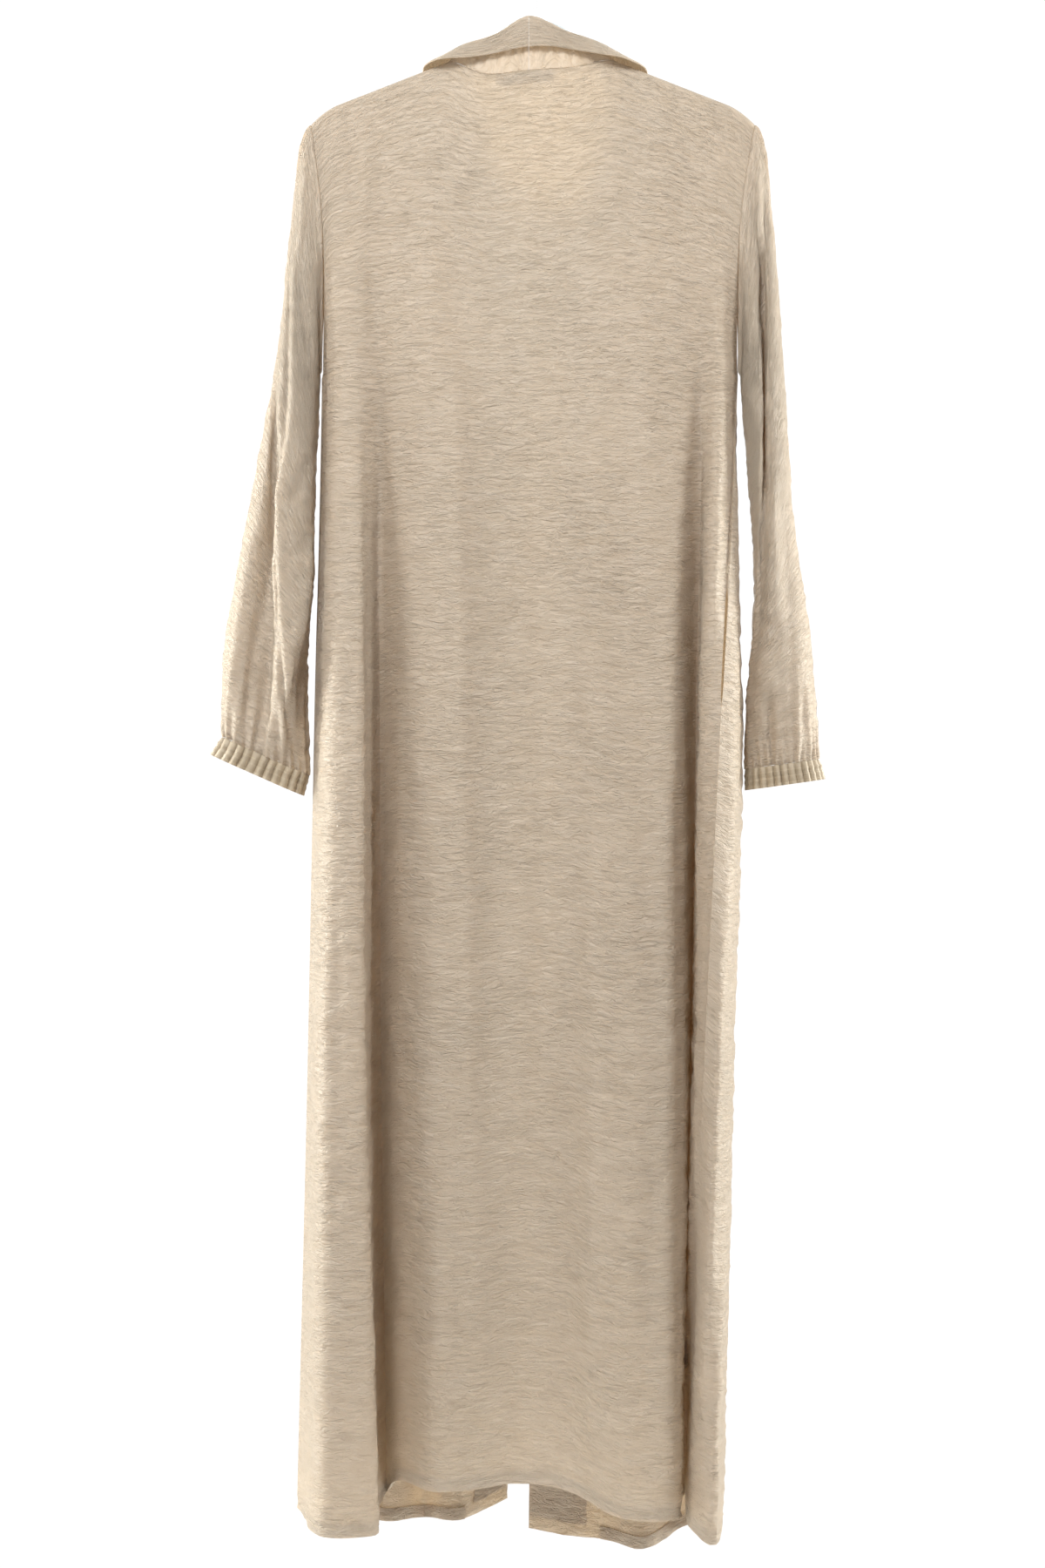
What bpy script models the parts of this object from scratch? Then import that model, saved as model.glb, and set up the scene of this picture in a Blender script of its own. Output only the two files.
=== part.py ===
# Open-fronted abaya cloak hanging on a plastic hanger. Metres, +Z up.
# The origin is inside the crown of the hanger's hook, the wearer's front faces -Y and the wearer's left is +X.
# Sizes and tables are in millimetres and are turned to metres when a mesh is made.
import math

import bmesh
import bpy
import numpy as np
from mathutils.bvhtree import BVHTree

MM = 0.001
WALL = 1.6             # cloth wall
SEAM = 0.3             # gap between pieces at a seam
SEAM_PULL_MOST = 1.2   # most that an edge is pulled back where two pieces leave their seam at a sharp angle
LABEL_WALL = 1.0
LABEL_COLS = (2.6, 5.2)       # neck columns that the label spans
LABEL_DROP = (1.5, 12.5)      # below the neck seam
UNDERARM_Z = -420.0    # height of the underarm points
HEM_RUN = 1080.0       # usual length from underarm to hem
POCKET_GAPE = 1.5      # half opening of the side pocket's slit
POCKET_ROWS = (2, 3)   # rows below the underarm where the slit stands open

HOOK_INNER_R = 20.0
HOOK_WIRE_R = 1.4
HOOK_TURN = range(-52, 216, 15)    # degrees along the hook's round
SHANK_TOP_Z = -58.0
BOSS_TOP_Z = -72.5
BOSS_R = 5.0
ARM_R = 5.0            # hanger arm
ARM_ROLL = 7.4         # radius of the cloth's middle surface over the arm
ARM_GAP = 0.7
# The hanger's arch from its crown to the arms, as reach and height, outside which the arms follow the shoulders
ARCH = ((0, -84.2), (18, -84.2), (27, -88), (36, -96), (50, -114), (62, -130), (70, -137), (80, -140),
        (92, -141), (105, -143))
ARM_REACHES = (130, 156, 182)

SHOULDER_X = 105.0     # the shoulder line: a straight slope that rounds off at the tip
SHOULDER_Z = -132.0
SHOULDER_SLOPE = 0.39
TIP_START = 185.0
TIP_ROUND = 0.012

# Grid columns and rows
SHOULDER_COLS = 15
NECK_COLS = 8
LAPEL_COLS = 6
ARMHOLE_ROWS = (0.0, 0.0094, 0.032, 0.1, 0.22, 0.41, 0.61, 0.81, 1.0)
SKIRT_ROWS = (0.08, 0.19, 0.285, 0.37, 0.52, 0.68, 0.84, 1.0)
ARMHOLE_SPLIT = 3      # sleeve columns to each armhole row
UNDERARM_STEPS = 6     # the seam turns sharply within this many columns of the underarm
UNDERARM_GAP = 1.2
UNDERARM_PULL = 0.4
TWIST_PULL = 1.2       # where the right side seam turns inside the fold
SLEEVE_ROWS = (0.0, 0.05, 0.13, 0.25, 0.39, 0.53, 0.67, 0.8, 0.92, 1.0)
SLEEVE_LEAVE = (190.0, 0.0, -60.0)    # how the left sleeve leaves the armhole, per station unit
CUFF_PLEATS = 24
CUFF_DEEP = 20.0
CUFF_WAVE = 1.3
CUFF_WALL = 1.2
CUFF_ROWS = ((0.0, 1.0, 0.6), (0.5, 0.965, 1.0), (1.0, 1.02, 1.0))    # depth, girth and pleat height

# A fold line runs from the top edge to the hem. Each level has its (x, y); top_z and hem_z are its ends.
# Over the shoulder "roll" is 1 and the line starts on top of the hanger's arm.
LEVELS = ("top", "yoke", "chest", "waist", "thigh", "hem")
LEVEL_RUN = (0.0, 80.0, 233.0, 553.0, 878.0, 1313.0)

BACK_FOLDS = (
    # name, top, yoke, chest, waist, thigh, hem, top_z, hem_z, roll, columns to the next line
    ("left seam", (214, 7.4), (204, 16), (204, 0), (211, 0), (217, 4), (227, 10), None, -1505, 1, 4),
    ("left roll", (197, 7.4), (190, 17), (188, 26), (188, 56), (189, 82), (188, 100), None, -1509, 1, 3),
    ("left edge", (178, 7.4), (172, 17), (168, 28), (165, 60), (163, 84), (149, 94), None, -1508, 1, 2),
    ("left wall", (165, 7.4), (162, 17), (160, 24), (159, 30), (159, 36), (151, 40), None, -1503, 1, 2),
    ("left valley", (152, 7.4), (153, 16), (150, 17), (149, 0), (148, -8), (143, -10), None, -1496, 1, 2),
    ("left rise", (128, 7.4), (132, 16), (130, 24), (128, 25), (128, 28), (127, 30), None, -1474, 1, 2),
    ("left swell", (84, 7.4), (96, 17), (96, 29), (95, 38), (95, 45), (94, 52), None, -1479, 1, 2),
    ("left of centre", (50, 16), (53, 17), (56, 26), (56, 31), (58, 36), (58, 40), -137, -1480, 0, 2),
    ("centre back", (6, 17), (8, 18), (10, 27), (12, 34), (12, 38), (12, 40), -134, -1474, 0, 2),
    ("right of centre", (-34, 16), (-33, 18), (-32, 27), (-31, 36), (-30, 42), (-29, 45), -131, -1479, 0, 2),
    ("right swell", (-78, 7.4), (-78, 17), (-82, 30), (-82, 42), (-82, 55), (-80, 66), None, -1500, 1, 4),
    ("right ridge", (-124, 7.4), (-128, 17), (-130, 26), (-131, 40), (-134, 50), (-134, 60), None, -1503, 1, 4),
    ("right valley", (-150, 7.4), (-154, 16), (-158, 19), (-155, -4), (-150, -12), (-137, 22), None, -1502, 1, 4),
    ("right edge", (-176, 7.4), (-176, 17), (-173, 29), (-164, 58), (-152, 48), (-138, -8), None, -1500, 1, 3),
    ("right seam", (-210, 7.4), (-197, 16), (-194, 0), (-174, 62), (-158, 74), (-144, -16), None, -1500, 1, 0),
)

FRONT_LEFT_FOLDS = (
    ("seam", (214, -7.4), (204, -16), (204, 0), (211, 0), (217, 4), (227, 10), None, -1505, 1, 4),
    ("outer", (196, -7.4), (195, -17), (199, -15), (208, -25), (214, -36), (221, -48), None, -1518, 1, 4),
    ("front ridge", (170, -7.4), (168, -18), (170, -30), (176, -50), (180, -76), (182, -98), None, -1532, 1, 4),
    ("front valley", (132, -7.4), (136, -17), (138, -25), (142, -34), (144, -46), (146, -52), None, -1534, 1, 3),
    ("inner ridge", (84, -7.4), (100, -18), (104, -32), (106, -52), (108, -82), (110, -104), None, -1544, 1, 2),
    ("inner valley", (68, -14), (71, -17), (70, -27), (70, -40), (72, -56), (74, -66), -150, -1537, 0, 2),
    ("lapel line", (50, -15), (44, -21), (42, -31), (42, -48), (44, -74), (46, -94), -212, -1533, 0, 2),
    ("front edge", (11, -24), (11, -28), (11, -33), (13, -46), (18, -64), (27, -82), -262, -1520, 0, 0),
)

FRONT_RIGHT_FOLDS = (
    ("seam", (-210, -7.4), (-197, -16), (-194, 0), (-174, 62), (-158, 74), (-144, -16), None, -1500, 1, 2),
    ("roll edge", (-200, -7.4), (-190, -17), (-193, -9), (-187, 51), (-168, 82), (-151, 76), None, -1514, 1, 2),
    ("roll", (-188, -7.4), (-182, -17), (-189, -19), (-195, 24), (-181, 60), (-161, 94), None, -1517, 1, 3),
    ("outer", (-176, -7.4), (-172, -17), (-180, -27), (-197, -8), (-189, 8), (-178, 24), None, -1510, 1, 3),
    ("front turn", (-160, -7.4), (-155, -17), (-162, -31), (-182, -36), (-184, -42), (-176, -46), None, -1530, 1, 3),
    ("front ridge", (-126, -7.4), (-127, -18), (-128, -30), (-142, -52), (-146, -80), (-142, -102), None, -1556, 1, 2),
    ("inner valley", (-78, -7.4), (-84, -18), (-98, -25), (-104, -38), (-106, -52), (-106, -60), None, -1564, 1, 2),
    ("inner ridge", (-68, -15), (-66, -19), (-64, -31), (-66, -50), (-68, -78), (-70, -98), -158, -1565, 0, 2),
    ("lapel line", (-58, -18), (-40, -22), (-31, -31), (-31, -47), (-31, -68), (-33, -86), -216, -1558, 0, 2),
    ("front edge", (-3, -24), (-3, -28), (-3, -33), (-2, -46), (0, -66), (6, -84), -262, -1550, 0, 0),
)

# A sleeve's sections below the armhole, from the outer line round the back to the inner line and round the front.
# Each section has the height of its outer and inner line; the lines between lean from one to the other.
SLEEVE_STATIONS = (0.0, 0.14, 0.36, 0.6, 0.84, 1.0)
LEFT_SLEEVE = {
    "outer_z": (-260, -400, -550, -690, -769),
    "inner_z": (-452, -532, -632, -735, -806),
    "folds": (
        # name, head, upper, elbow, forearm, wrist
        ("outer", (231, 0), (247, 0), (274, 0), (298, 0), (300, 0)),
        ("outer back", (228, 12), (241, 13), (262, 14), (278, 15), (284, 12)),
        ("valley", (223, 16), (236, 16), (250, 9), (254, 8), (265, 13)),
        ("flap edge", (219, 18), (232, 24), (245, 34), (243, 34), (250, 15)),
        ("flap", (215, 18), (223, 26), (229, 36), (236, 36), (240, 15)),
        ("flap inner edge", (211, 15), (214, 22), (214, 28), (231, 28), (230, 14)),
        ("inner back", (208, 8), (211, 10), (213, 12), (224, 9), (220, 8)),
        ("inner", (207, 0), (211, 0), (216, 0), (218, -2), (216, 0)),
        ("inner front", (209, -10), (214, -14), (224, -18), (228, -18), (224, -9)),
        ("front", (217, -17), (228, -22), (243, -28), (255, -28), (252, -14)),
        ("outer front", (226, -13), (240, -15), (264, -18), (286, -16), (288, -10)),
    ),
}
RIGHT_SLEEVE = {
    "outer_z": (-260, -400, -550, -690, -790),
    "inner_z": (-452, -532, -632, -735, -800),
    "folds": (
        ("outer", (-225, 0), (-237, 0), (-247, 0), (-265, 0), (-272, 0)),
        ("outer back", (-223, 11), (-232, 14), (-239, 16), (-254, 18), (-262, 12)),
        ("main edge", (-220, 15), (-223, 21), (-221, 24), (-226, 25), (-246, 16)),
        ("valley", (-216, 6), (-219, 8), (-216, 19), (-214, 22), (-232, 16)),
        ("strip", (-209, 18), (-214, 22), (-213, 17), (-209, 18), (-218, 14)),
        ("strip inner edge", (-203, 12), (-208, 14), (-210, 9), (-204, 10), (-207, 9)),
        ("inner", (-199, 0), (-205, 0), (-210, -2), (-203, -2), (-201, 0)),
        ("inner front", (-202, -11), (-209, -15), (-214, -16), (-212, -17), (-208, -9)),
        ("front", (-211, -17), (-220, -22), (-228, -27), (-234, -27), (-235, -14)),
        ("outer front", (-220, -12), (-231, -15), (-240, -17), (-254, -17), (-260, -11)),
    ),
}

# The collar along its seam, from the centre back to the end of the lapel. Place 1 is the shoulder point and
# place 2 the bottom of the front's neck opening. The directions are the left half's.
COLLAR = (
    # name, place, stand, fall, roll radius, stand direction, outward direction, fall direction
    ("centre back", 0.0, 49.0, 29.0, 3.4, (0, -0.06, 1), (0, 1, 0.05), (0, 0.06, -1)),
    ("back neck", 0.45, 28.0, 19.0, 3.2, (-0.25, -0.08, 0.96), (0.2, 0.96, 0.2), (0.25, 0.14, -0.96)),
    ("behind the shoulder", 0.85, 13.0, 19.0, 3.0, (-0.55, 0, 0.83), (0.5, 0.65, 0.56), (0.75, 0.34, -0.56)),
    ("shoulder", 1.0, 7.0, 21.0, 3.0, (-0.75, 0, 0.66), (0.6, 0, 0.8), (0.91, 0, -0.42)),
    ("before the shoulder", 1.15, 4.0, 30.0, 2.8, (-0.88, 0, 0.48), (0.4, -0.75, 0.52), (0.88, -0.25, -0.4)),
    ("upper lapel", 1.4, 1.8, 50.0, 2.4, (-0.94, 0, 0.34), (0.05, -0.99, 0.1), (0.94, 0, -0.34)),
    ("middle lapel", 1.8, 1.6, 70.0, 2.2, (-0.94, 0, 0.34), (0, -1, 0), (0.94, 0, -0.34)),
    ("lapel point", 2.25, 1.6, 84.0, 2.2, (-0.94, 0, 0.34), (0, -1, 0), (0.94, 0, -0.34)),
    ("lower lapel", 2.65, 1.6, 50.0, 2.2, (-0.94, 0, 0.34), (0, -1, 0), (0.94, 0, -0.34)),
    ("break", 3.0, 1.6, 9.0, 2.2, (-0.94, 0, 0.34), (0, -1, 0), (0.94, 0, -0.34)),
)
COLLAR_COLS = (0, 0.16, 0.32, 0.48, 0.64, 0.78, 0.88, 0.95, 1.0, 1.05, 1.12, 1.22, 1.36, 1.5, 1.66, 1.83, 2.0,
               2.15, 2.3, 2.45, 2.6, 2.75, 2.88, 3.0)
LAPEL_ROWS = 8         # rows of the front edge that the lapel is sewn to
LAPEL_LIFT = 2.2       # clear height of the collar over the panels
COLLAR_PULL_AT = (0, 0.6, 0.8, 1.3, 1.6, 1.8, 2.0, 2.3, 3)      # pull of the collar's seam edge at these places
COLLAR_PULL = (0.35, 0.5, 1.2, 1.2, 0.6, 0.9, 1.1, 0.6, 0.35)
COLLAR_NEAR = 15.0     # only points this close to the panels are lifted

FACING_COLS = 3


def clear_scene():
    for old in list(bpy.data.objects):
        bpy.data.objects.remove(old, do_unlink=True)


def material(name, hex_colour, roughness):
    mat = bpy.data.materials.new(name)
    mat.use_nodes = True
    shader = mat.node_tree.nodes["Principled BSDF"]
    channels = [int(hex_colour[i:i + 2], 16) / 255 for i in (0, 2, 4)]
    linear = [c / 12.92 if c <= 0.04045 else ((c + 0.055) / 1.055) ** 2.4 for c in channels]
    shader.inputs["Base Color"].default_value = (*linear, 1)
    shader.inputs["Roughness"].default_value = roughness
    return mat


def unit(vectors):
    return vectors / np.maximum(np.linalg.norm(vectors, axis=-1, keepdims=True), 1e-9)


# Cubic curve through points at their knots, with slopes from the neighbours
def spline(knots, points, at, start_slope=None):
    knots = np.asarray(knots, float)
    points = np.asarray(points, float)
    step = np.diff(knots)
    rise = np.diff(points, axis=0) / step.reshape(-1, *[1] * (points.ndim - 1))
    slopes = np.empty_like(points)
    slopes[0] = rise[0] if start_slope is None else start_slope
    slopes[-1] = rise[-1]
    for i in range(1, len(knots) - 1):
        slopes[i] = (rise[i - 1] * step[i] + rise[i] * step[i - 1]) / (step[i - 1] + step[i])
    out = []
    for value in np.atleast_1d(at):
        i = int(np.clip(np.searchsorted(knots, value) - 1, 0, len(step) - 1))
        h = step[i]
        t = (value - knots[i]) / h
        out.append((2 * t ** 3 - 3 * t ** 2 + 1) * points[i] + (t ** 3 - 2 * t ** 2 + t) * h * slopes[i]
                   + (3 * t ** 2 - 2 * t ** 3) * points[i + 1] + (t ** 3 - t ** 2) * h * slopes[i + 1])
    return np.array(out)


# Dense line through fold points, with the chord length as the knots
def dense_line(points, steps=12):
    points = np.asarray(points, float)
    knots = np.concatenate([[0], np.cumsum(np.linalg.norm(np.diff(points[:, :2], axis=0), axis=1))])
    at = [np.linspace(a, b, steps, endpoint=False) for a, b in zip(knots, knots[1:])] + [knots[-1:]]
    return spline(knots, points, np.concatenate(at))


# Points at given shares of the length of a line, where the length is read from its first two columns
def share_out(line, shares):
    run = np.concatenate([[0], np.cumsum(np.linalg.norm(np.diff(line[:, :2], axis=0), axis=1))])
    at = np.asarray(shares) * run[-1]
    return np.stack([np.interp(at, run, line[:, c]) for c in range(line.shape[1])], axis=1)


def shoulder_z(x):
    reach = abs(x - 2)
    return SHOULDER_Z - SHOULDER_SLOPE * (reach - SHOULDER_X) - TIP_ROUND * max(0, reach - TIP_START) ** 2


# Middle surface of a body panel: rows run down, columns run from the first fold line to the last
def panel(folds):
    spans = [(i, folds[i][10]) for i in range(len(folds) - 1)]
    stations = [along_spans(dense_line([fold[1 + level] + (fold[8],) for fold in folds]), spans)
                for level in range(len(LEVELS))]
    stations = np.array(stations)
    tops = [fold[1] + (fold[7] or shoulder_z(fold[1][0]),) for fold in folds]
    top_z = along_spans(dense_line(tops), spans)[:, 2]
    roll = np.zeros(len(top_z))
    starts = np.cumsum([0] + [count for i, count in spans])
    first = 0
    while first < len(folds):
        last = first
        while last + 1 < len(folds) and folds[last][9] and folds[last + 1][9]:
            last += 1
        if last > first:
            span = slice(starts[first], starts[last] + 1)
            xs = np.linspace(folds[first][1][0], folds[last][1][0], starts[last] - starts[first] + 1)
            stations[0, span, 0] = xs
            top_z[span] = [shoulder_z(x) for x in xs]
            roll[span] = 1
        first = last + 1
    hem_z = stations[-1, :, 2]
    grid = []
    for share in ARMHOLE_ROWS:
        z = top_z + (UNDERARM_Z - top_z) * share
        grid.append(body_row(stations, LEVEL_RUN[2] * share, z, top_z - z, roll))
    for share in SKIRT_ROWS:
        z = UNDERARM_Z + (hem_z - UNDERARM_Z) * share
        grid.append(body_row(stations, LEVEL_RUN[2] + HEM_RUN * share, z, top_z - z, roll))
    return np.array(grid)


# Columns at even steps between neighbouring fold lines
def along_spans(line, spans):
    parts = []
    for i, count in spans:
        part = share_out(line[i * 12:i * 12 + 13], np.linspace(0, 1, count + 1))
        parts.append(part[0 if i == 0 else 1:])
    return np.concatenate(parts)


def body_row(stations, run, z, drop, roll):
    flat = spline(LEVEL_RUN, stations[:, :, :2], run)[0]
    bend = np.sqrt(np.clip(1 - (1 - np.clip(drop / ARM_ROLL, 0, 1)) ** 2, 0, 1))
    y = flat[:, 1] * (1 - roll + roll * bend)
    return np.stack([flat[:, 0], y, z], axis=1)


# Outward directions of a middle surface; side is +1 or -1
def outward(grid, side, closed=False):
    if closed:
        across = np.roll(grid, -1, axis=1) - np.roll(grid, 1, axis=1)
    else:
        across = np.gradient(grid, axis=1)
    return side * unit(np.cross(np.gradient(grid, axis=0), across))


# Loop from the shoulder tip down the back's armhole edge and up the front's
def armhole(back, front, back_normals, front_normals, back_col):
    rows = len(ARMHOLE_ROWS)
    loop = np.concatenate([back[:rows, back_col], front[rows - 2::-1, 0]])
    turn = np.concatenate([back_normals[:rows, back_col], front_normals[rows - 2::-1, 0]])
    at = np.arange((len(loop) - 1) * ARMHOLE_SPLIT) / ARMHOLE_SPLIT
    index = np.arange(len(loop))
    points = np.stack([np.interp(at, index, loop[:, c]) for c in range(3)], axis=1)
    turns = np.stack([np.interp(at, index, turn[:, c]) for c in range(3)], axis=1)
    return points, unit(turns)


# Middle surface of a sleeve, from the armhole loop down to the slanting wrist seam
def sleeve(table, loop, side):
    half = len(loop) // 2
    names = [fold[0] for fold in table["folds"]]
    inner = names.index("inner")
    run = np.concatenate([[0], np.cumsum(np.linalg.norm(np.diff(np.vstack([loop, loop[:1]]), axis=0), axis=1))])
    back_share = run[:half + 1] / run[half]
    front_share = (run[half:] - run[half]) / (run[-1] - run[half])
    even = np.linspace(0, 1, half + 1)
    stations = [loop]
    for s in range(len(SLEEVE_STATIONS) - 1):
        ring = [fold[1 + s] for fold in table["folds"]]
        padded = ring[-2:] + ring + ring[:3]
        line = dense_line(padded)[24:24 + 12 * len(ring) + 1]
        blend = min(1, SLEEVE_STATIONS[s + 1] / 0.6)
        back_half = share_out(line[:inner * 12 + 1], back_share * (1 - blend) + even * blend)
        front_half = share_out(line[inner * 12:], front_share * (1 - blend) + even * blend)
        flat = np.concatenate([back_half[:-1], front_half[:-1]])
        x_outer = ring[0][0]
        x_inner = ring[inner][0]
        lean = (flat[:, 0] - x_outer) / (x_inner - x_outer)
        z = table["outer_z"][s] + (table["inner_z"][s] - table["outer_z"][s]) * lean
        stations.append(np.column_stack([flat, z]))
    leave = np.array(SLEEVE_LEAVE) * (side, 1, 1)
    return spline(SLEEVE_STATIONS, np.array(stations), SLEEVE_ROWS, start_slope=leave)


# Straightens the end row into the seam's slanting plane
def wrist_plane(table):
    outer = np.array([table["folds"][0][-1][0], table["outer_z"][-1]], float)
    inner = [fold for fold in table["folds"] if fold[0] == "inner"][0]
    inner = np.array([inner[-1][0], table["inner_z"][-1]], float)
    along = unit(inner - outer)
    down = np.array([along[1], 0, -along[0]])
    if down[2] > 0:
        down = -down
    return down


def in_plane(normals, axis):
    return unit(normals - (normals @ axis)[..., None] * axis)


def cuff(end_row, axis):
    cols = CUFF_PLEATS * 2
    run = np.arange(len(end_row) + 1)
    closed = np.vstack([end_row, end_row[:1]])
    at = np.linspace(0, len(end_row), cols, endpoint=False)
    ring = np.stack([np.interp(at, run, closed[:, c]) for c in range(3)], axis=1)
    middle = ring.mean(axis=0)
    rows = []
    for share, size, pleat in CUFF_ROWS:
        rows.append(middle + (ring - middle) * size + axis * CUFF_DEEP * share)
    return np.array(rows)


# Pull of each edge that keeps the seam's gap, where the two pieces leave the seam at an angle
def seam_pull(here, next_a, next_b):
    spread = np.linalg.norm(unit(next_a - here) - unit(next_b - here), axis=1)
    return np.clip(SEAM * 2.0 / np.maximum(spread, 1e-6), SEAM / 2, SEAM_PULL_MOST)


def pull_in(grid, edge, gap):
    grid = grid.copy()
    source = {"top": (grid[0], grid[1]), "bottom": (grid[-1], grid[-2]),
              "first": (grid[:, 0], grid[:, 1]), "last": (grid[:, -1], grid[:, -2])}[edge]
    moved = source[0] + unit(source[1] - source[0]) * np.asarray(gap).reshape(-1, 1)
    if edge == "top":
        grid[0] = moved
    elif edge == "bottom":
        grid[-1] = moved
    elif edge == "first":
        grid[:, 0] = moved
    else:
        grid[:, -1] = moved
    return grid


# Closed wall round a middle surface, both skins split along the same diagonals
def wall(name, grid, normals, thickness, mat, closed=False):
    rows, cols = grid.shape[:2]
    half = thickness / 2
    points = np.concatenate([(grid + normals * half).reshape(-1, 3), (grid - normals * half).reshape(-1, 3)]) * MM
    shift = rows * cols
    spans = cols if closed else cols - 1
    tris = []
    flat = grid.reshape(-1, 3)
    for r in range(rows - 1):
        for c in range(spans):
            d = (c + 1) % cols
            a, b, e, f = r * cols + c, r * cols + d, (r + 1) * cols + d, (r + 1) * cols + c
            if np.linalg.norm(flat[a] - flat[e]) <= np.linalg.norm(flat[b] - flat[f]):
                tris += [(a, b, e), (a, e, f)]
            else:
                tris += [(a, b, f), (b, e, f)]
    border = []
    for c in range(spans):
        d = (c + 1) % cols
        border.append((c, d))
        border.append(((rows - 1) * cols + d, (rows - 1) * cols + c))
    if not closed:
        for r in range(rows - 1):
            border.append(((r + 1) * cols, r * cols))
            border.append((r * cols + cols - 1, (r + 1) * cols + cols - 1))
    faces = [tuple(t) for t in tris] + [(c + shift, b + shift, a + shift) for a, b, c in tris]
    for a, b in border:
        faces += [(b, a, a + shift), (b, a + shift, b + shift)]
    a, b, c = points[list(tris[0])]
    if np.dot(np.cross(b - a, c - a), normals.reshape(-1, 3)[tris[0][0]]) < 0:
        faces = [face[::-1] for face in faces]
    return solid(name, points, faces, mat)


def solid(name, points, faces, mat):
    mesh = bpy.data.meshes.new(name)
    mesh.from_pydata([tuple(p) for p in points], [], faces)
    mesh.update()
    obj = bpy.data.objects.new(name, mesh)
    bpy.context.scene.collection.objects.link(obj)
    obj.data.materials.append(mat)
    mesh.shade_smooth()
    mesh.set_sharp_from_angle(angle=math.radians(50))
    return obj


# Seam edge of a collar half: the back neck, the front's neck opening and the front edge
def collar_seam(back, front, left):
    middle = SHOULDER_COLS + NECK_COLS // 2
    shoulder = SHOULDER_COLS if left else SHOULDER_COLS + NECK_COLS
    step = -1 if left else 1
    neck = list(range(middle, shoulder + step, step))
    base = [back[0, c] for c in neck]
    place = list(np.linspace(0, 1, len(neck)))
    for i in range(1, LAPEL_COLS + 1):
        base.append(front[0, SHOULDER_COLS + i])
        place.append(1 + i / LAPEL_COLS)
    for r in range(2, LAPEL_ROWS + 1):
        base.append(front[r, -1])
        place.append(2 + (r - 1) / (LAPEL_ROWS - 1))
    return np.stack([np.interp(COLLAR_COLS, place, np.array(base)[:, c]) for c in range(3)], axis=1)


def collar(base, skin, side):
    places = [row[1] for row in COLLAR]
    sizes = spline(places, [row[2:5] for row in COLLAR], COLLAR_COLS)
    mirror = np.array([side, 1, 1])
    turns = [np.array([row[k] for row in COLLAR]) * mirror for k in (5, 6, 7)]
    up, out, down = [unit(np.stack([np.interp(COLLAR_COLS, places, turn[:, c]) for c in range(3)], axis=1))
                     for turn in turns]
    base = base + up * np.interp(COLLAR_COLS, COLLAR_PULL_AT, COLLAR_PULL)[:, None]
    grid = []
    for b, u, n, d, (stand, fall, roll) in zip(base, up, out, down, sizes):
        over = b + u * stand + n * roll * 1.95
        column = [b, b + u * stand * 0.55, b + u * stand + n * roll * 0.1]
        column += [b + u * (stand + roll * 0.8) + n * roll, over]
        grid.append(column + [over + d * fall * share for share in (0.22, 0.5, 0.78, 1.0)])
    grid = np.transpose(np.array(grid), (1, 0, 2))
    for r in range(4, grid.shape[0]):
        for c in range(grid.shape[1]):
            for again in range(4):
                grid[r, c] = clear_of(skin, grid[r, c])
    return grid


# Lifts a collar point off the panels' outer skins
def clear_of(skin, point):
    near, normal, index, far = skin.find_nearest(tuple(point))
    height = (point - np.array(near)) @ np.array(normal)
    need = WALL / 2 + LAPEL_LIFT
    return point + np.array(normal) * (need - height) if height < need and far < COLLAR_NEAR else point


# The neck label follows the back's inner side below the neck seam
def neck_label(back, back_out, mat):
    columns = np.arange(back.shape[1])
    across = SHOULDER_COLS + np.linspace(*LABEL_COLS, 5)
    rows = []
    turns = []
    for drop in np.linspace(*LABEL_DROP, 3):
        share = drop / (back[0, SHOULDER_COLS + NECK_COLS // 2, 2] - UNDERARM_Z)
        at = np.interp(share, ARMHOLE_ROWS, range(len(ARMHOLE_ROWS)))
        low = int(at)
        line = back[low] + (back[low + 1] - back[low]) * (at - low)
        turn = back_out[low] + (back_out[low + 1] - back_out[low]) * (at - low)
        rows.append(np.stack([np.interp(across, columns, line[:, c]) for c in range(3)], axis=1))
        turns.append(np.stack([np.interp(across, columns, turn[:, c]) for c in range(3)], axis=1))
    turns = unit(np.array(turns))
    inside = WALL / 2 + SEAM * 1.5 + LABEL_WALL / 2
    wall("neck_label", np.array(rows) - turns * inside, turns, LABEL_WALL, mat)


# One search surface of several panels; turned is true where a panel's faces must be flipped to face out
def skin_of(panels):
    points = []
    faces = []
    for grid, turned in panels:
        rows, cols = grid.shape[:2]
        first = len(points)
        points += [tuple(p) for p in grid.reshape(-1, 3)]
        for r in range(rows - 1):
            for c in range(cols - 1):
                a = first + r * cols + c
                face = (a, a + 1, a + cols + 1, a + cols)
                faces.append(face[::-1] if turned else face)
    return BVHTree.FromPolygons(points, faces)


# Round bar along a path with flat ends
def bar(name, path, radius, sides, mat):
    path = np.asarray(path, float)
    tangents = unit(np.gradient(path, axis=0))
    side = np.array([0.0, 1.0, 0.0])
    rings = []
    for point, tangent in zip(path, tangents):
        other = unit(np.cross(tangent, side))
        turns = [2 * math.pi * i / sides for i in range(sides)]
        rings.append([point + radius * (math.cos(t) * side + math.sin(t) * other) for t in turns])
    points = np.array(rings).reshape(-1, 3) * MM
    faces = []
    for r in range(len(path) - 1):
        for i in range(sides):
            j = (i + 1) % sides
            faces.append((r * sides + i, r * sides + j, (r + 1) * sides + j, (r + 1) * sides + i))
    faces.append(tuple(range(sides))[::-1])
    faces.append(tuple((len(path) - 1) * sides + i for i in range(sides)))
    return solid(name, points, faces, mat)


def recalculated(obj):
    work = bmesh.new()
    work.from_mesh(obj.data)
    bmesh.ops.recalc_face_normals(work, faces=work.faces)
    work.to_mesh(obj.data)
    work.free()
    return obj


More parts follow.
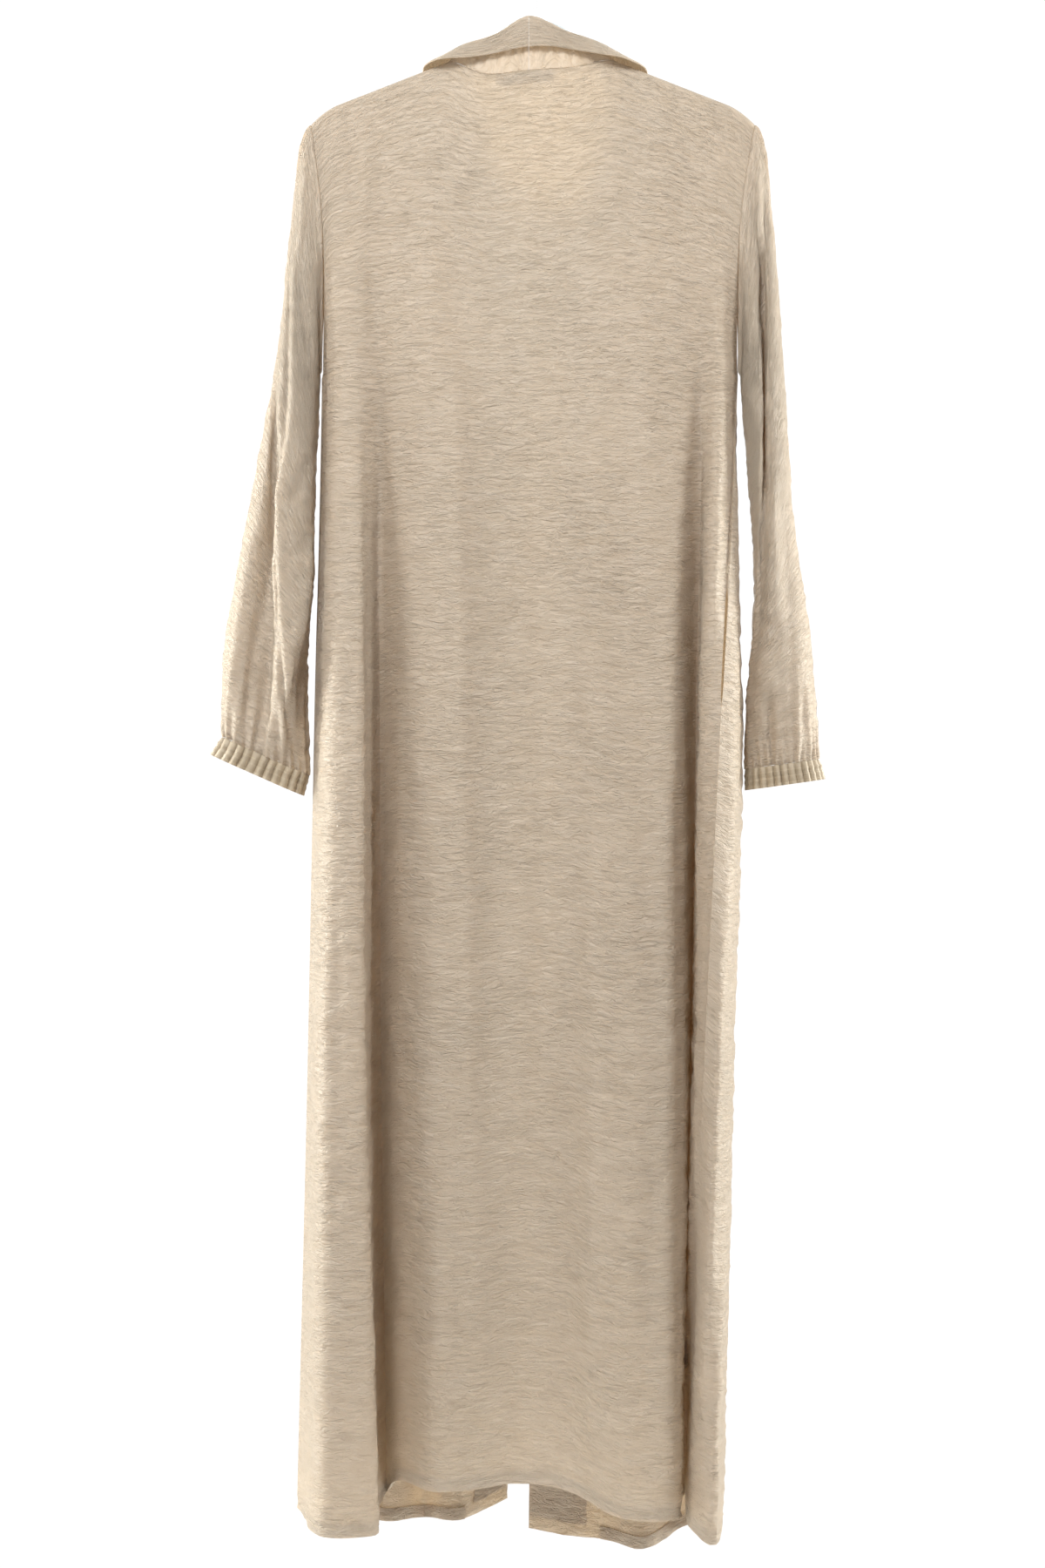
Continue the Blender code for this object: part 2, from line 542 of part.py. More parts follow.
def hanger(plastic, steel):
    half = list(ARCH) + [(reach, None) for reach in ARM_REACHES]
    ends = half[:0:-1] + half
    path = []
    for i, (reach, z) in enumerate(ends):
        x = -reach if i < len(half) - 1 else reach
        slope = shoulder_z(abs(x)) - shoulder_z(abs(x) + 1)
        under = (ARM_R + WALL / 2 + ARM_GAP) * math.hypot(1, slope)
        path.append((x, 0, shoulder_z(x) - under if z is None else z))
    arms = recalculated(bar("hanger", path, ARM_R, 10, plastic))
    boss_path = [(0, 0, BOSS_TOP_Z), (0, 0, ARCH[0][1])]
    boss = recalculated(bar("hanger_boss_shape", boss_path, BOSS_R, 12, plastic))
    join = arms.modifiers.new("boss", "BOOLEAN")
    join.operation = "UNION"
    join.object = boss
    boss.hide_render = True
    boss.display_type = "WIRE"
    wire = [(0, 0, BOSS_TOP_Z + SEAM), (0, 0, BOSS_TOP_Z + 8), (0, 0, SHANK_TOP_Z)]
    radius = HOOK_INNER_R + HOOK_WIRE_R
    for degrees in HOOK_TURN:
        turn = math.radians(degrees)
        wire.append((radius * math.cos(turn), 0, radius * math.sin(turn) - HOOK_INNER_R))
    return arms, recalculated(bar("hanger_hook", wire, HOOK_WIRE_R, 8, steel))


def build():
    clear_scene()
    cloth = material("beige satin crepe", "CDC0AC", 0.6)
    plain = material("hanger plastic", "DDE3EA", 0.35)
    steel = material("hook wire", "B9B9B5", 0.3)
    steel.node_tree.nodes["Principled BSDF"].inputs["Metallic"].default_value = 1
    woven = material("label tape", "C4B39A", 0.7)

    back = panel(BACK_FOLDS)
    fronts = {"left": panel(FRONT_LEFT_FOLDS), "right": panel(FRONT_RIGHT_FOLDS)}
    rows = len(ARMHOLE_ROWS)
    for name, edge in (("left", 0), ("right", -1)):
        seam = (back[rows - 1:, edge] + fronts[name][rows - 1:, 0]) / 2
        back[rows - 1:, edge] = seam
        fronts[name][rows - 1:, 0] = seam
    back_out = outward(back, 1)
    fronts_out = {"left": outward(fronts["left"], -1), "right": outward(fronts["right"], 1)}
    for side, name in ((1, "left"), (-1, "right")):
        front = fronts[name]
        front_out = fronts_out[name]
        edge = 0 if name == "left" else -1
        shared = unit(back_out[:, edge] + front_out[:, 0])
        back_out[rows - 1:, edge] = shared[rows - 1:]
        front_out[rows - 1:, 0] = shared[rows - 1:]
        span = slice(0, SHOULDER_COLS + 1)
        top = back_out[0, span] if name == "left" else back_out[0, ::-1][span]
        both = unit(top + front_out[0, span])
        front_out[0, span] = both
        if name == "left":
            back_out[0, span] = both
        else:
            back_out[0, -SHOULDER_COLS - 1:] = both[::-1]

        loop, loop_out = armhole(back, front, back_out, front_out, edge)
        table = LEFT_SLEEVE if name == "left" else RIGHT_SLEEVE
        grid = sleeve(table, loop, side)
        grid_out = outward(grid, side, closed=True)
        shared = unit(loop_out + grid_out[0])
        corner = rows - 1
        shared[corner * ARMHOLE_SPLIT] = unit(np.array([side * 1.0, 0, -1.0]))
        for r in range(rows):
            back_out[r, edge] = shared[r * ARMHOLE_SPLIT]
            front_out[r, 0] = shared[(-r * ARMHOLE_SPLIT) % len(shared)]
        nodes = np.arange(0, len(shared) + 1, ARMHOLE_SPLIT)
        knots = np.vstack([shared, shared[:1]])[nodes]
        at = np.arange(len(shared)) / ARMHOLE_SPLIT
        grid_out[0] = np.stack([np.interp(at, np.arange(len(knots)), knots[:, c]) for c in range(3)], axis=1)
        axis = wrist_plane(table)
        grid_out[-1] = in_plane(grid_out[-1], axis)
        cuff_grid = cuff(grid[-1], axis)
        cuff_out = outward(cuff_grid, side, closed=True)
        wave = np.where(np.arange(cuff_grid.shape[1]) % 2, -1, 1)[:, None] * CUFF_WAVE / 2
        cuff_out[0] = in_plane(cuff_out[0], axis)
        for r, (share, size, pleat) in enumerate(CUFF_ROWS):
            cuff_grid[r] += cuff_out[r] * wave * pleat
        steps = np.abs(np.arange(len(loop)) - len(loop) // 2)
        gap = np.where(steps < UNDERARM_STEPS, UNDERARM_GAP, SEAM / 2)
        grid = pull_in(pull_in(grid, "top", gap), "bottom", SEAM / 2)
        cuff_grid = pull_in(cuff_grid, "top", SEAM / 2)
        wall("sleeve_" + name, grid, grid_out, WALL, cloth, closed=True)
        wall("cuff_" + name, cuff_grid, cuff_out, CUFF_WALL, cloth, closed=True)

    side_pulls = {}
    for name, edge, inner in (("left", 0, 1), ("right", -1, -2)):
        pulls = seam_pull(back[:, edge], back[:, inner], fronts[name][:, 1])
        pulls[:rows - 2] = SEAM / 2
        pulls[rows - 2:rows] = UNDERARM_PULL
        side_pulls[name] = pulls
    for r in POCKET_ROWS:
        side_pulls["right"][rows - 1 + r] = POCKET_GAPE
    side_pulls["right"][-3:] = TWIST_PULL
    sewn_back = pull_in(pull_in(back, "first", side_pulls["left"]), "last", side_pulls["right"])
    wall("back", pull_in(sewn_back, "top", SEAM / 2), back_out, WALL, cloth)

    skin = skin_of([(back + back_out * WALL / 2, True)] + [
        (fronts[name] + fronts_out[name] * WALL / 2, name == "right") for name in fronts])
    collars = {}
    collars_out = {}
    for side, name in ((1, "left"), (-1, "right")):
        front = fronts[name]
        front_out = fronts_out[name]
        sewn = pull_in(pull_in(front, "first", side_pulls[name]), "last", SEAM / 2)
        wall("front_" + name, pull_in(sewn, "top", SEAM / 2), front_out, WALL, cloth)
        facing = slice(-FACING_COLS - 1, None)
        inner = front - front_out * (WALL + SEAM)
        wall("facing_" + name, inner[2:-1, facing], front_out[2:-1, facing], WALL, cloth)
        collars[name] = collar(collar_seam(back, front, name == "left"), skin, side)
        collars_out[name] = outward(collars[name], -side)
    middle_out = unit(collars_out["left"][:, 0] + collars_out["right"][:, 0])
    for name in ("left", "right"):
        collars_out[name][:, 0] = middle_out
        grid = pull_in(collars[name], "first", SEAM / 2)
        wall("collar_" + name, grid, collars_out[name], WALL, cloth)

    neck_label(back, back_out, woven)
    hanger(plain, steel)


build()
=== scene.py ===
# Abaya cloak of crinkled satin crepe, seen from behind on its hanger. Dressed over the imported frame.
import math

import bmesh
import bpy
import numpy as np
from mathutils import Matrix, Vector, noise
from mathutils.bvhtree import BVHTree


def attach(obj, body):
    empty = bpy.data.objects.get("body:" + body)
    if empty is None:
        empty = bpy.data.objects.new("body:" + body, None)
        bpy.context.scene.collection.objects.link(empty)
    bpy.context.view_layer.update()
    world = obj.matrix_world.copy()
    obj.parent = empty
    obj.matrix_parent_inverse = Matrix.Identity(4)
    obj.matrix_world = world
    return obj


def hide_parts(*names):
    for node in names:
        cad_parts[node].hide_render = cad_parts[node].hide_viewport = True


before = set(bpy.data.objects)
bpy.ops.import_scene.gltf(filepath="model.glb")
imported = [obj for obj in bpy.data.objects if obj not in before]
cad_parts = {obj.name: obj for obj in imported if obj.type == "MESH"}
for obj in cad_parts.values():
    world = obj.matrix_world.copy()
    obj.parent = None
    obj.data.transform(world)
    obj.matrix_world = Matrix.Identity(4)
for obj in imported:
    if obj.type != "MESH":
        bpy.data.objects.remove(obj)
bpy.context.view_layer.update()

mm = 0.001
print("stage: frame loaded,", len(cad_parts), "nodes")

cloth = {
    "wall": 0.9,          # mm, the crepe's wall
    "seamGap": 0.25,
    "columnDetail": 4,    # fine columns to each column of the plain solids
    "rowStep": 6.0,       # mm between rows
    "underarmZ": -420.0,
    "hemRun": 1080.0,
    "armRoll": 7.4,       # the cloth's round over the hanger's arm
}
shoulder = {"x": 105.0, "z": -132.0, "slope": 0.39, "tipStart": 185.0, "tipRound": 0.012}


def toLinear(hexColour):
    out = []
    for i in (0, 2, 4):
        c = int(hexColour[i:i + 2], 16) / 255
        out.append(c / 12.92 if c <= 0.04045 else ((c + 0.055) / 1.055) ** 2.4)
    return (*out, 1.0)


def addNode(tree, kind, settings=None, **links):
    node = tree.nodes.new(kind)
    for key, value in (settings or {}).items():
        if hasattr(node, key) and not key.startswith("in:"):
            setattr(node, key, value)
        else:
            node.inputs[key[3:] if key.startswith("in:") else key].default_value = value
    for key, source in links.items():
        target = node.inputs[int(key[1:])] if key[1:].isdigit() else node.inputs[key.replace("_", " ")]
        tree.links.new(source, target)
    return node


def unit(v):
    return v / np.maximum(np.linalg.norm(v, axis=-1, keepdims=True), 1e-9)


def smooth(t):
    t = np.clip(t, 0, 1)
    return t * t * (3 - 2 * t)


def spline(knots, points, at, startSlope=None):
    knots = np.asarray(knots, float)
    points = np.asarray(points, float)
    step = np.diff(knots)
    rise = np.diff(points, axis=0) / step.reshape(-1, *[1] * (points.ndim - 1))
    slopes = np.empty_like(points)
    slopes[0] = rise[0] if startSlope is None else startSlope
    slopes[-1] = rise[-1]
    for i in range(1, len(knots) - 1):
        slopes[i] = (rise[i - 1] * step[i] + rise[i] * step[i - 1]) / (step[i - 1] + step[i])
    out = []
    for value in np.atleast_1d(at):
        i = int(np.clip(np.searchsorted(knots, value) - 1, 0, len(step) - 1))
        h = step[i]
        t = (value - knots[i]) / h
        out.append((2 * t ** 3 - 3 * t ** 2 + 1) * points[i] + (t ** 3 - 2 * t ** 2 + t) * h * slopes[i]
                   + (3 * t ** 2 - 2 * t ** 3) * points[i + 1] + (t ** 3 - t ** 2) * h * slopes[i + 1])
    return np.array(out)


def denseLine(points, steps=12):
    points = np.asarray(points, float)
    knots = np.concatenate([[0], np.cumsum(np.linalg.norm(np.diff(points[:, :2], axis=0), axis=1))])
    at = [np.linspace(a, b, steps, endpoint=False) for a, b in zip(knots, knots[1:])] + [knots[-1:]]
    return spline(knots, points, np.concatenate(at))


def shareOut(line, shares):
    run = np.concatenate([[0], np.cumsum(np.linalg.norm(np.diff(line[:, :2], axis=0), axis=1))])
    at = np.asarray(shares) * run[-1]
    return np.stack([np.interp(at, run, line[:, c]) for c in range(line.shape[1])], axis=1)


def alongSpans(line, spans):
    parts = []
    for i, count in spans:
        part = shareOut(line[i * 12:i * 12 + 13], np.linspace(0, 1, count + 1))
        parts.append(part[0 if i == 0 else 1:])
    return np.concatenate(parts)


def shoulderZ(x):
    reach = abs(x - 2)
    return (shoulder["z"] - shoulder["slope"] * (reach - shoulder["x"])
            - shoulder["tipRound"] * max(0, reach - shoulder["tipStart"]) ** 2)


levelRun = (0.0, 80.0, 233.0, 553.0, 878.0, 1313.0)    # top, yoke, chest, waist, thigh and hem
armholeShares = np.concatenate([[0, 0.003, 0.0065, 0.011, 0.017, 0.025, 0.036, 0.05, 0.068],
                                np.linspace(0.088, 1, 47)])
skirtShares = np.linspace(0, 1, int(cloth["hemRun"] / cloth["rowStep"]) + 1)[1:]
rowShares = [(s, None) for s in armholeShares] + [(None, s) for s in skirtShares]
armRows = len(armholeShares)


def bodyRow(stations, run, z, drop, roll):
    flat = spline(levelRun, stations[:, :, :2], run)[0]
    bend = np.sqrt(np.clip(1 - (1 - np.clip(drop / cloth["armRoll"], 0, 1)) ** 2, 0, 1))
    y = flat[:, 1] * (1 - roll + roll * bend)
    return np.stack([flat[:, 0], y, z], axis=1)


# Middle surface of a panel, rows down and columns from its first fold line to its last
def panelGrid(folds):
    spans = [(i, folds[i][10] * cloth["columnDetail"]) for i in range(len(folds) - 1)]
    stations = np.array([alongSpans(denseLine([f[1 + level] + (f[8],) for f in folds]), spans)
                         for level in range(len(levelRun))])
    tops = [f[1] + (f[7] or shoulderZ(f[1][0]),) for f in folds]
    topZ = alongSpans(denseLine(tops), spans)[:, 2]
    roll = np.zeros(len(topZ))
    starts = np.cumsum([0] + [count for i, count in spans])
    first = 0
    while first < len(folds):
        last = first
        while last + 1 < len(folds) and folds[last][9] and folds[last + 1][9]:
            last += 1
        if last > first:
            span = slice(starts[first], starts[last] + 1)
            xs = np.linspace(folds[first][1][0], folds[last][1][0], starts[last] - starts[first] + 1)
            stations[0, span, 0] = xs
            topZ[span] = [shoulderZ(x) for x in xs]
            roll[span] = 1
        first = last + 1
    hemZ = stations[-1, :, 2]
    grid = []
    for arm, skirt in rowShares:
        if skirt is None:
            z = topZ + (cloth["underarmZ"] - topZ) * arm
            grid.append(bodyRow(stations, levelRun[2] * arm, z, topZ - z, roll))
        else:
            z = cloth["underarmZ"] + (hemZ - cloth["underarmZ"]) * skirt
            grid.append(bodyRow(stations, levelRun[2] + cloth["hemRun"] * skirt, z, topZ - z, roll))
    return np.array(grid)


def outward(grid, side, closed=False):
    across = (np.roll(grid, -1, axis=1) - np.roll(grid, 1, axis=1)) if closed else np.gradient(grid, axis=1)
    return side * unit(np.cross(np.gradient(grid, axis=0), across))


def pullIn(grid, edge, gap):
    grid = grid.copy()
    every = slice(None)
    take, near = {"top": ((0, every), (1, every)), "bottom": ((-1, every), (-2, every)),
                  "first": ((every, 0), (every, 1)), "last": ((every, -1), (every, -2))}[edge]
    toward = grid[near] - grid[take]
    grid[take] = grid[take] + unit(toward) * min(gap, 0.6 * np.linalg.norm(toward, axis=1).min())
    return grid


def noiseAt(points, scale, seed):
    out = np.empty(len(points))
    for i, p in enumerate(points):
        out[i] = noise.noise(Vector((p[0] / scale[0] + seed, p[1] / scale[1], p[2] / scale[2])))
    return out


def tilted(points, degrees):
    c, s = math.cos(math.radians(degrees)), math.sin(math.radians(degrees))
    return np.stack([points[:, 0] * c - points[:, 2] * s, points[:, 1], points[:, 0] * s + points[:, 2] * c], axis=1)


# mm; the crepe's own uneven lie: broad swells, and wrinkles that run across and grow towards the hem
lie = {
    "swells": (((48, 48, 24), 3.1, 1.0), ((16, 16, 240), 11.3, 0.9)),    # scale, seed and height
    "wrinkles": ((11, (30, 30, 8.5), 23.7, 2.4), (-8, (40, 40, 11), 31.9, 2.2)),    # turn in degrees first
    "level": 0.25,
}


# Lays the uneven lie and the listed creases on a middle surface
def crumple(grid, normals, creases=(), amount=1.0, fade=None):
    flat = grid.reshape(-1, 3)
    # the crepe is smoother near the shoulders, where its weight stretches it
    low = 0.45 + 0.85 * smooth((-flat[:, 2] - 250) / 900)
    push = sum(noiseAt(flat, scale, seed) * height for scale, seed, height in lie["swells"]) * amount
    for turn, scale, seed, height in lie["wrinkles"]:
        push = push + (lie["level"] - np.abs(noiseAt(tilted(flat, turn), scale, seed))) * height * low * amount
    # the creases leave the outline straight, where the cloth turns away from the eye
    facesEye = smooth((np.abs(normals.reshape(-1, 3)[:, 1]) - 0.2) / 0.5)
    for _, *points, depth, width in creases:
        points = np.array(points, float)
        runs = np.linalg.norm(np.diff(points, axis=0), axis=1)
        nearest = np.full(len(flat), 1e9)
        share = np.zeros(len(flat))
        for i, run in enumerate(runs):
            along = (points[i + 1] - points[i]) / run
            rel = flat[:, [0, 2]] - points[i]
            t = np.clip(rel @ along, 0, run)
            away = np.linalg.norm(rel - t[:, None] * along, axis=1)
            closer = away < nearest
            nearest = np.where(closer, away, nearest)
            share = np.where(closer, (runs[:i].sum() + t) / runs.sum(), share)
        ends = smooth(share / 0.18 + 0.05) * smooth((1 - share) / 0.18 + 0.05)
        push = push + depth * np.exp(-(nearest / width) ** 2) * ends * facesEye
    push = push.reshape(grid.shape[:2])
    if fade is not None:
        push = push * fade
    return grid + normals * push[..., None]


def show(name, data):
    obj = bpy.data.objects.new(name, data)
    bpy.context.scene.collection.objects.link(obj)
    return obj


# Fades a push out over the first and last rows or columns
def edgeFade(shape, top=0, bottom=0, first=0, last=0):
    rows, cols = shape[:2]
    fade = np.ones((rows, cols))
    for count, line in ((top, np.arange(rows)), (bottom, np.arange(rows)[::-1])):
        if count:
            fade *= smooth(line / count)[:, None]
    for count, line in ((first, np.arange(cols)), (last, np.arange(cols)[::-1])):
        if count:
            fade *= smooth(line / count)[None, :]
    return fade


def clothMesh(name, grid, normals, mat, thickness=cloth["wall"], closed=False):
    rows, cols = grid.shape[:2]
    points = np.concatenate([(grid + normals * thickness / 2).reshape(-1, 3),
                             (grid - normals * thickness / 2).reshape(-1, 3)]) * mm
    shift = rows * cols
    spans = cols if closed else cols - 1
    faces = []
    for r in range(rows - 1):
        for c in range(spans):
            d = (c + 1) % cols
            faces.append((r * cols + c, r * cols + d, (r + 1) * cols + d, (r + 1) * cols + c))
    border = []
    for c in range(spans):
        d = (c + 1) % cols
        border += [(c, d), ((rows - 1) * cols + d, (rows - 1) * cols + c)]
    if not closed:
        for r in range(rows - 1):
            border += [((r + 1) * cols, r * cols), (r * cols + cols - 1, (r + 1) * cols + cols - 1)]
    count = len(faces)
    faces += [tuple(v + shift for v in reversed(f)) for f in faces[:count]]
    faces += [(b, a, a + shift, b + shift) for a, b in border]
    a, b, c = points[list(faces[0][:3])]
    if np.dot(np.cross(b - a, c - a), normals.reshape(-1, 3)[faces[0][0]]) < 0:
        faces = [f[::-1] for f in faces]
    mesh = bpy.data.meshes.new(name)
    mesh.from_pydata([tuple(p) for p in points], [], faces)
    # the cloth's own map, in metres across and down the grain
    middle = cols // 2
    across = np.linalg.norm(np.diff(grid, axis=1, append=grid[:, :1] if closed else grid[:, -1:]), axis=2)
    u = np.concatenate([np.zeros((rows, 1)), np.cumsum(across, axis=1)[:, :-1]], axis=1)
    u = (u - u[:, middle:middle + 1]) * mm
    down = np.linalg.norm(np.diff(grid, axis=0, prepend=grid[:1]), axis=2)
    v = np.cumsum(down, axis=0).mean(axis=1, keepdims=True) * np.ones((1, cols)) * mm
    uv = np.stack([u, -v], axis=2).reshape(-1, 2)
    uv = np.concatenate([uv, uv])
    layer = mesh.uv_layers.new(name="grain")
    index = np.empty(len(mesh.loops), int)
    mesh.loops.foreach_get("vertex_index", index)
    layer.data.foreach_set("uv", uv[index].ravel())
    mesh.materials.append(mat)
    mesh.shade_smooth()
    mesh.set_sharp_from_angle(angle=math.radians(60))
    return show(name, mesh)


def declare(obj, node):
    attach(obj, "root")
    if node:
        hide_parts(node)


def plainPiece(obj, node=None):
    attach(obj, "root")
    if node:
        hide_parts(node)


def cloud(tree, place, scale, detail, rough, distortion=0.0):
    return addNode(tree, "ShaderNodeTexNoise", {"Scale": scale, "Detail": detail, "Roughness": rough,
                                                "Distortion": distortion}, Vector=place)


# Maths on a socket and, as the second value, a constant
def sums(tree, operation, value, constant, **links):
    node = addNode(tree, "ShaderNodeMath", {"operation": operation}, i0=value, **links)
    node.inputs[1].default_value = constant
    return node


# Satin crepe, woven and then crinkled: a soft sheen on every turn, and light comes through where it lies single
def satinCrepe(name, settings):
    mat = bpy.data.materials.new(name)
    mat.use_nodes = True
    tree = mat.node_tree
    tree.nodes.clear()
    out = addNode(tree, "ShaderNodeOutputMaterial")
    uv = addNode(tree, "ShaderNodeUVMap", {"uv_map": "grain"})
    # crinkles about 3.7 mm high and 13 mm long; the real ones are from 2 mm high, which is too fine to show
    grain = uv.outputs["UV"]
    place = addNode(tree, "ShaderNodeMapping", {"Scale": (75, 270, 1), "Rotation": (0, 0, 0.07)}, Vector=grain)
    crinkle = cloud(tree, place.outputs["Vector"], 1.0, 2.5, 0.55, 1.1)
    centred = sums(tree, "SUBTRACT", crinkle.outputs["Fac"], 0.5)
    folded = addNode(tree, "ShaderNodeMath", {"operation": "ABSOLUTE"}, i0=centred.outputs[0])
    ridge = sums(tree, "MULTIPLY", folded.outputs[0], -2.2)
    softPlace = addNode(tree, "ShaderNodeMapping", {"Scale": (38, 120, 1), "Rotation": (0, 0, -0.16)}, Vector=grain)
    soft = cloud(tree, softPlace.outputs["Vector"], 1.0, 2.0, 0.5, 0.6)
    height = sums(tree, "MULTIPLY_ADD", soft.outputs["Fac"], 1.0, i2=ridge.outputs[0])
    # patches where the crepe was pressed flatter
    calm = cloud(tree, grain, 9.0, 1.0, 0.5)
    strength = addNode(tree, "ShaderNodeMapRange", {"From Min": 0.3, "From Max": 0.7, "To Min": settings["bump"] * 0.85,
                                                    "To Max": settings["bump"] * 1.1}, Value=calm.outputs["Fac"])
    bump = addNode(tree, "ShaderNodeBump", {"Distance": 0.0019}, Height=height.outputs[0],
                   Strength=strength.outputs["Result"])
    # the weave's threads, drawn at 0.9 mm; the real ones are under 0.2 mm
    weave = cloud(tree, grain, 1100.0, 1.0, 0.5)
    fine = addNode(tree, "ShaderNodeBump", {"Strength": 0.10, "Distance": 0.0004}, Height=weave.outputs["Fac"],
                   Normal=bump.outputs["Normal"])
    # slubs: slightly darker threads that run across; the soft crinkle's low parts also take the darker colour, which is
    # painted shade
    slubPlace = addNode(tree, "ShaderNodeMapping", {"Scale": (14, 900, 1)}, Vector=grain)
    slub = cloud(tree, slubPlace.outputs["Vector"], 1.0, 2.0, 0.6)
    slubAndShade = sums(tree, "MULTIPLY_ADD", slub.outputs["Fac"], 0.3, i2=soft.outputs["Fac"])
    ramp = addNode(tree, "ShaderNodeValToRGB", None, Fac=slubAndShade.outputs[0])
    ramp.color_ramp.elements[0].position = 0.4
    ramp.color_ramp.elements[0].color = toLinear(settings["deep"])
    ramp.color_ramp.elements[1].position = 0.9
    ramp.color_ramp.elements[1].color = toLinear(settings["base"])
    rough = addNode(tree, "ShaderNodeMapRange", {"To Min": 0.42, "To Max": 0.52}, Value=calm.outputs["Fac"])
    skin = addNode(tree, "ShaderNodeBsdfPrincipled", {"IOR": 1.5, "Specular IOR Level": 0.6, "Sheen Roughness": 0.4,
                                                      "Sheen Weight": settings["sheen"]},
                   Base_Color=ramp.outputs["Color"], Roughness=rough.outputs["Result"], Normal=fine.outputs["Normal"])
    skin.inputs["Sheen Tint"].default_value = toLinear("F4F1E2")
    through = addNode(tree, "ShaderNodeBsdfTranslucent", {"Color": toLinear(settings["glow"])},
                      Normal=bump.outputs["Normal"])
    both = addNode(tree, "ShaderNodeMixShader", {"Fac": settings["through"]}, i1=skin.outputs[0], i2=through.outputs[0])
    tree.links.new(both.outputs[0], out.inputs["Surface"])
    return mat


def plainMaterial(name, colour, roughness, metallic=0.0, bumpScale=300.0, strength=0.1, coat=0.0):
    mat = bpy.data.materials.new(name)
    mat.use_nodes = True
    tree = mat.node_tree
    skin = tree.nodes["Principled BSDF"]
    skin.inputs["Base Color"].default_value = toLinear(colour)
    skin.inputs["Metallic"].default_value = metallic
    skin.inputs["Coat Weight"].default_value = coat
    place = addNode(tree, "ShaderNodeTexCoord")
    grain = addNode(tree, "ShaderNodeTexNoise", {"Scale": bumpScale, "Detail": 3.0}, Vector=place.outputs["Object"])
    spread = addNode(tree, "ShaderNodeMapRange", {"To Min": roughness - 0.06, "To Max": roughness + 0.06},
                     Value=grain.outputs["Fac"])
    tree.links.new(spread.outputs["Result"], skin.inputs["Roughness"])
    bump = addNode(tree, "ShaderNodeBump", {"Strength": strength, "Distance": 0.0002}, Height=grain.outputs["Fac"])
    tree.links.new(bump.outputs["Normal"], skin.inputs["Normal"])
    return mat


crepeLook = {"base": "DDD0C1", "deep": "D2C3B1", "glow": "DCCBB3", "bump": 0.95, "sheen": 0.4, "through": 0.5}
crepe = satinCrepe("satin crepe, crinkled", crepeLook)
# the cuffs take a darker, less translucent copy of the same crepe: painted shade standing in for the shadows between
# the gathers
cuffShadedLook = {**crepeLook, "base": "BCAE9A", "deep": "A8977F", "bump": 0.4, "through": 0.25}
crepeCuffShaded = satinCrepe("satin crepe, gathered, with painted shade", cuffShadedLook)
threadMat = plainMaterial("polyester sewing thread", "CDBFA8", 0.45, bumpScale=2500.0, strength=0.3)
hangerMat = plainMaterial("polystyrene, moulded", "DDE6EE", 0.28, bumpScale=120.0, strength=0.05, coat=0.2)
wireMat = plainMaterial("zinc-plated drawn wire", "BFC0BE", 0.28, metallic=1.0, bumpScale=900.0)
tapeMat = plainMaterial("woven polyester tape", "CBBBA2", 0.6, bumpScale=1500.0, strength=0.4)
print("stage: materials made")

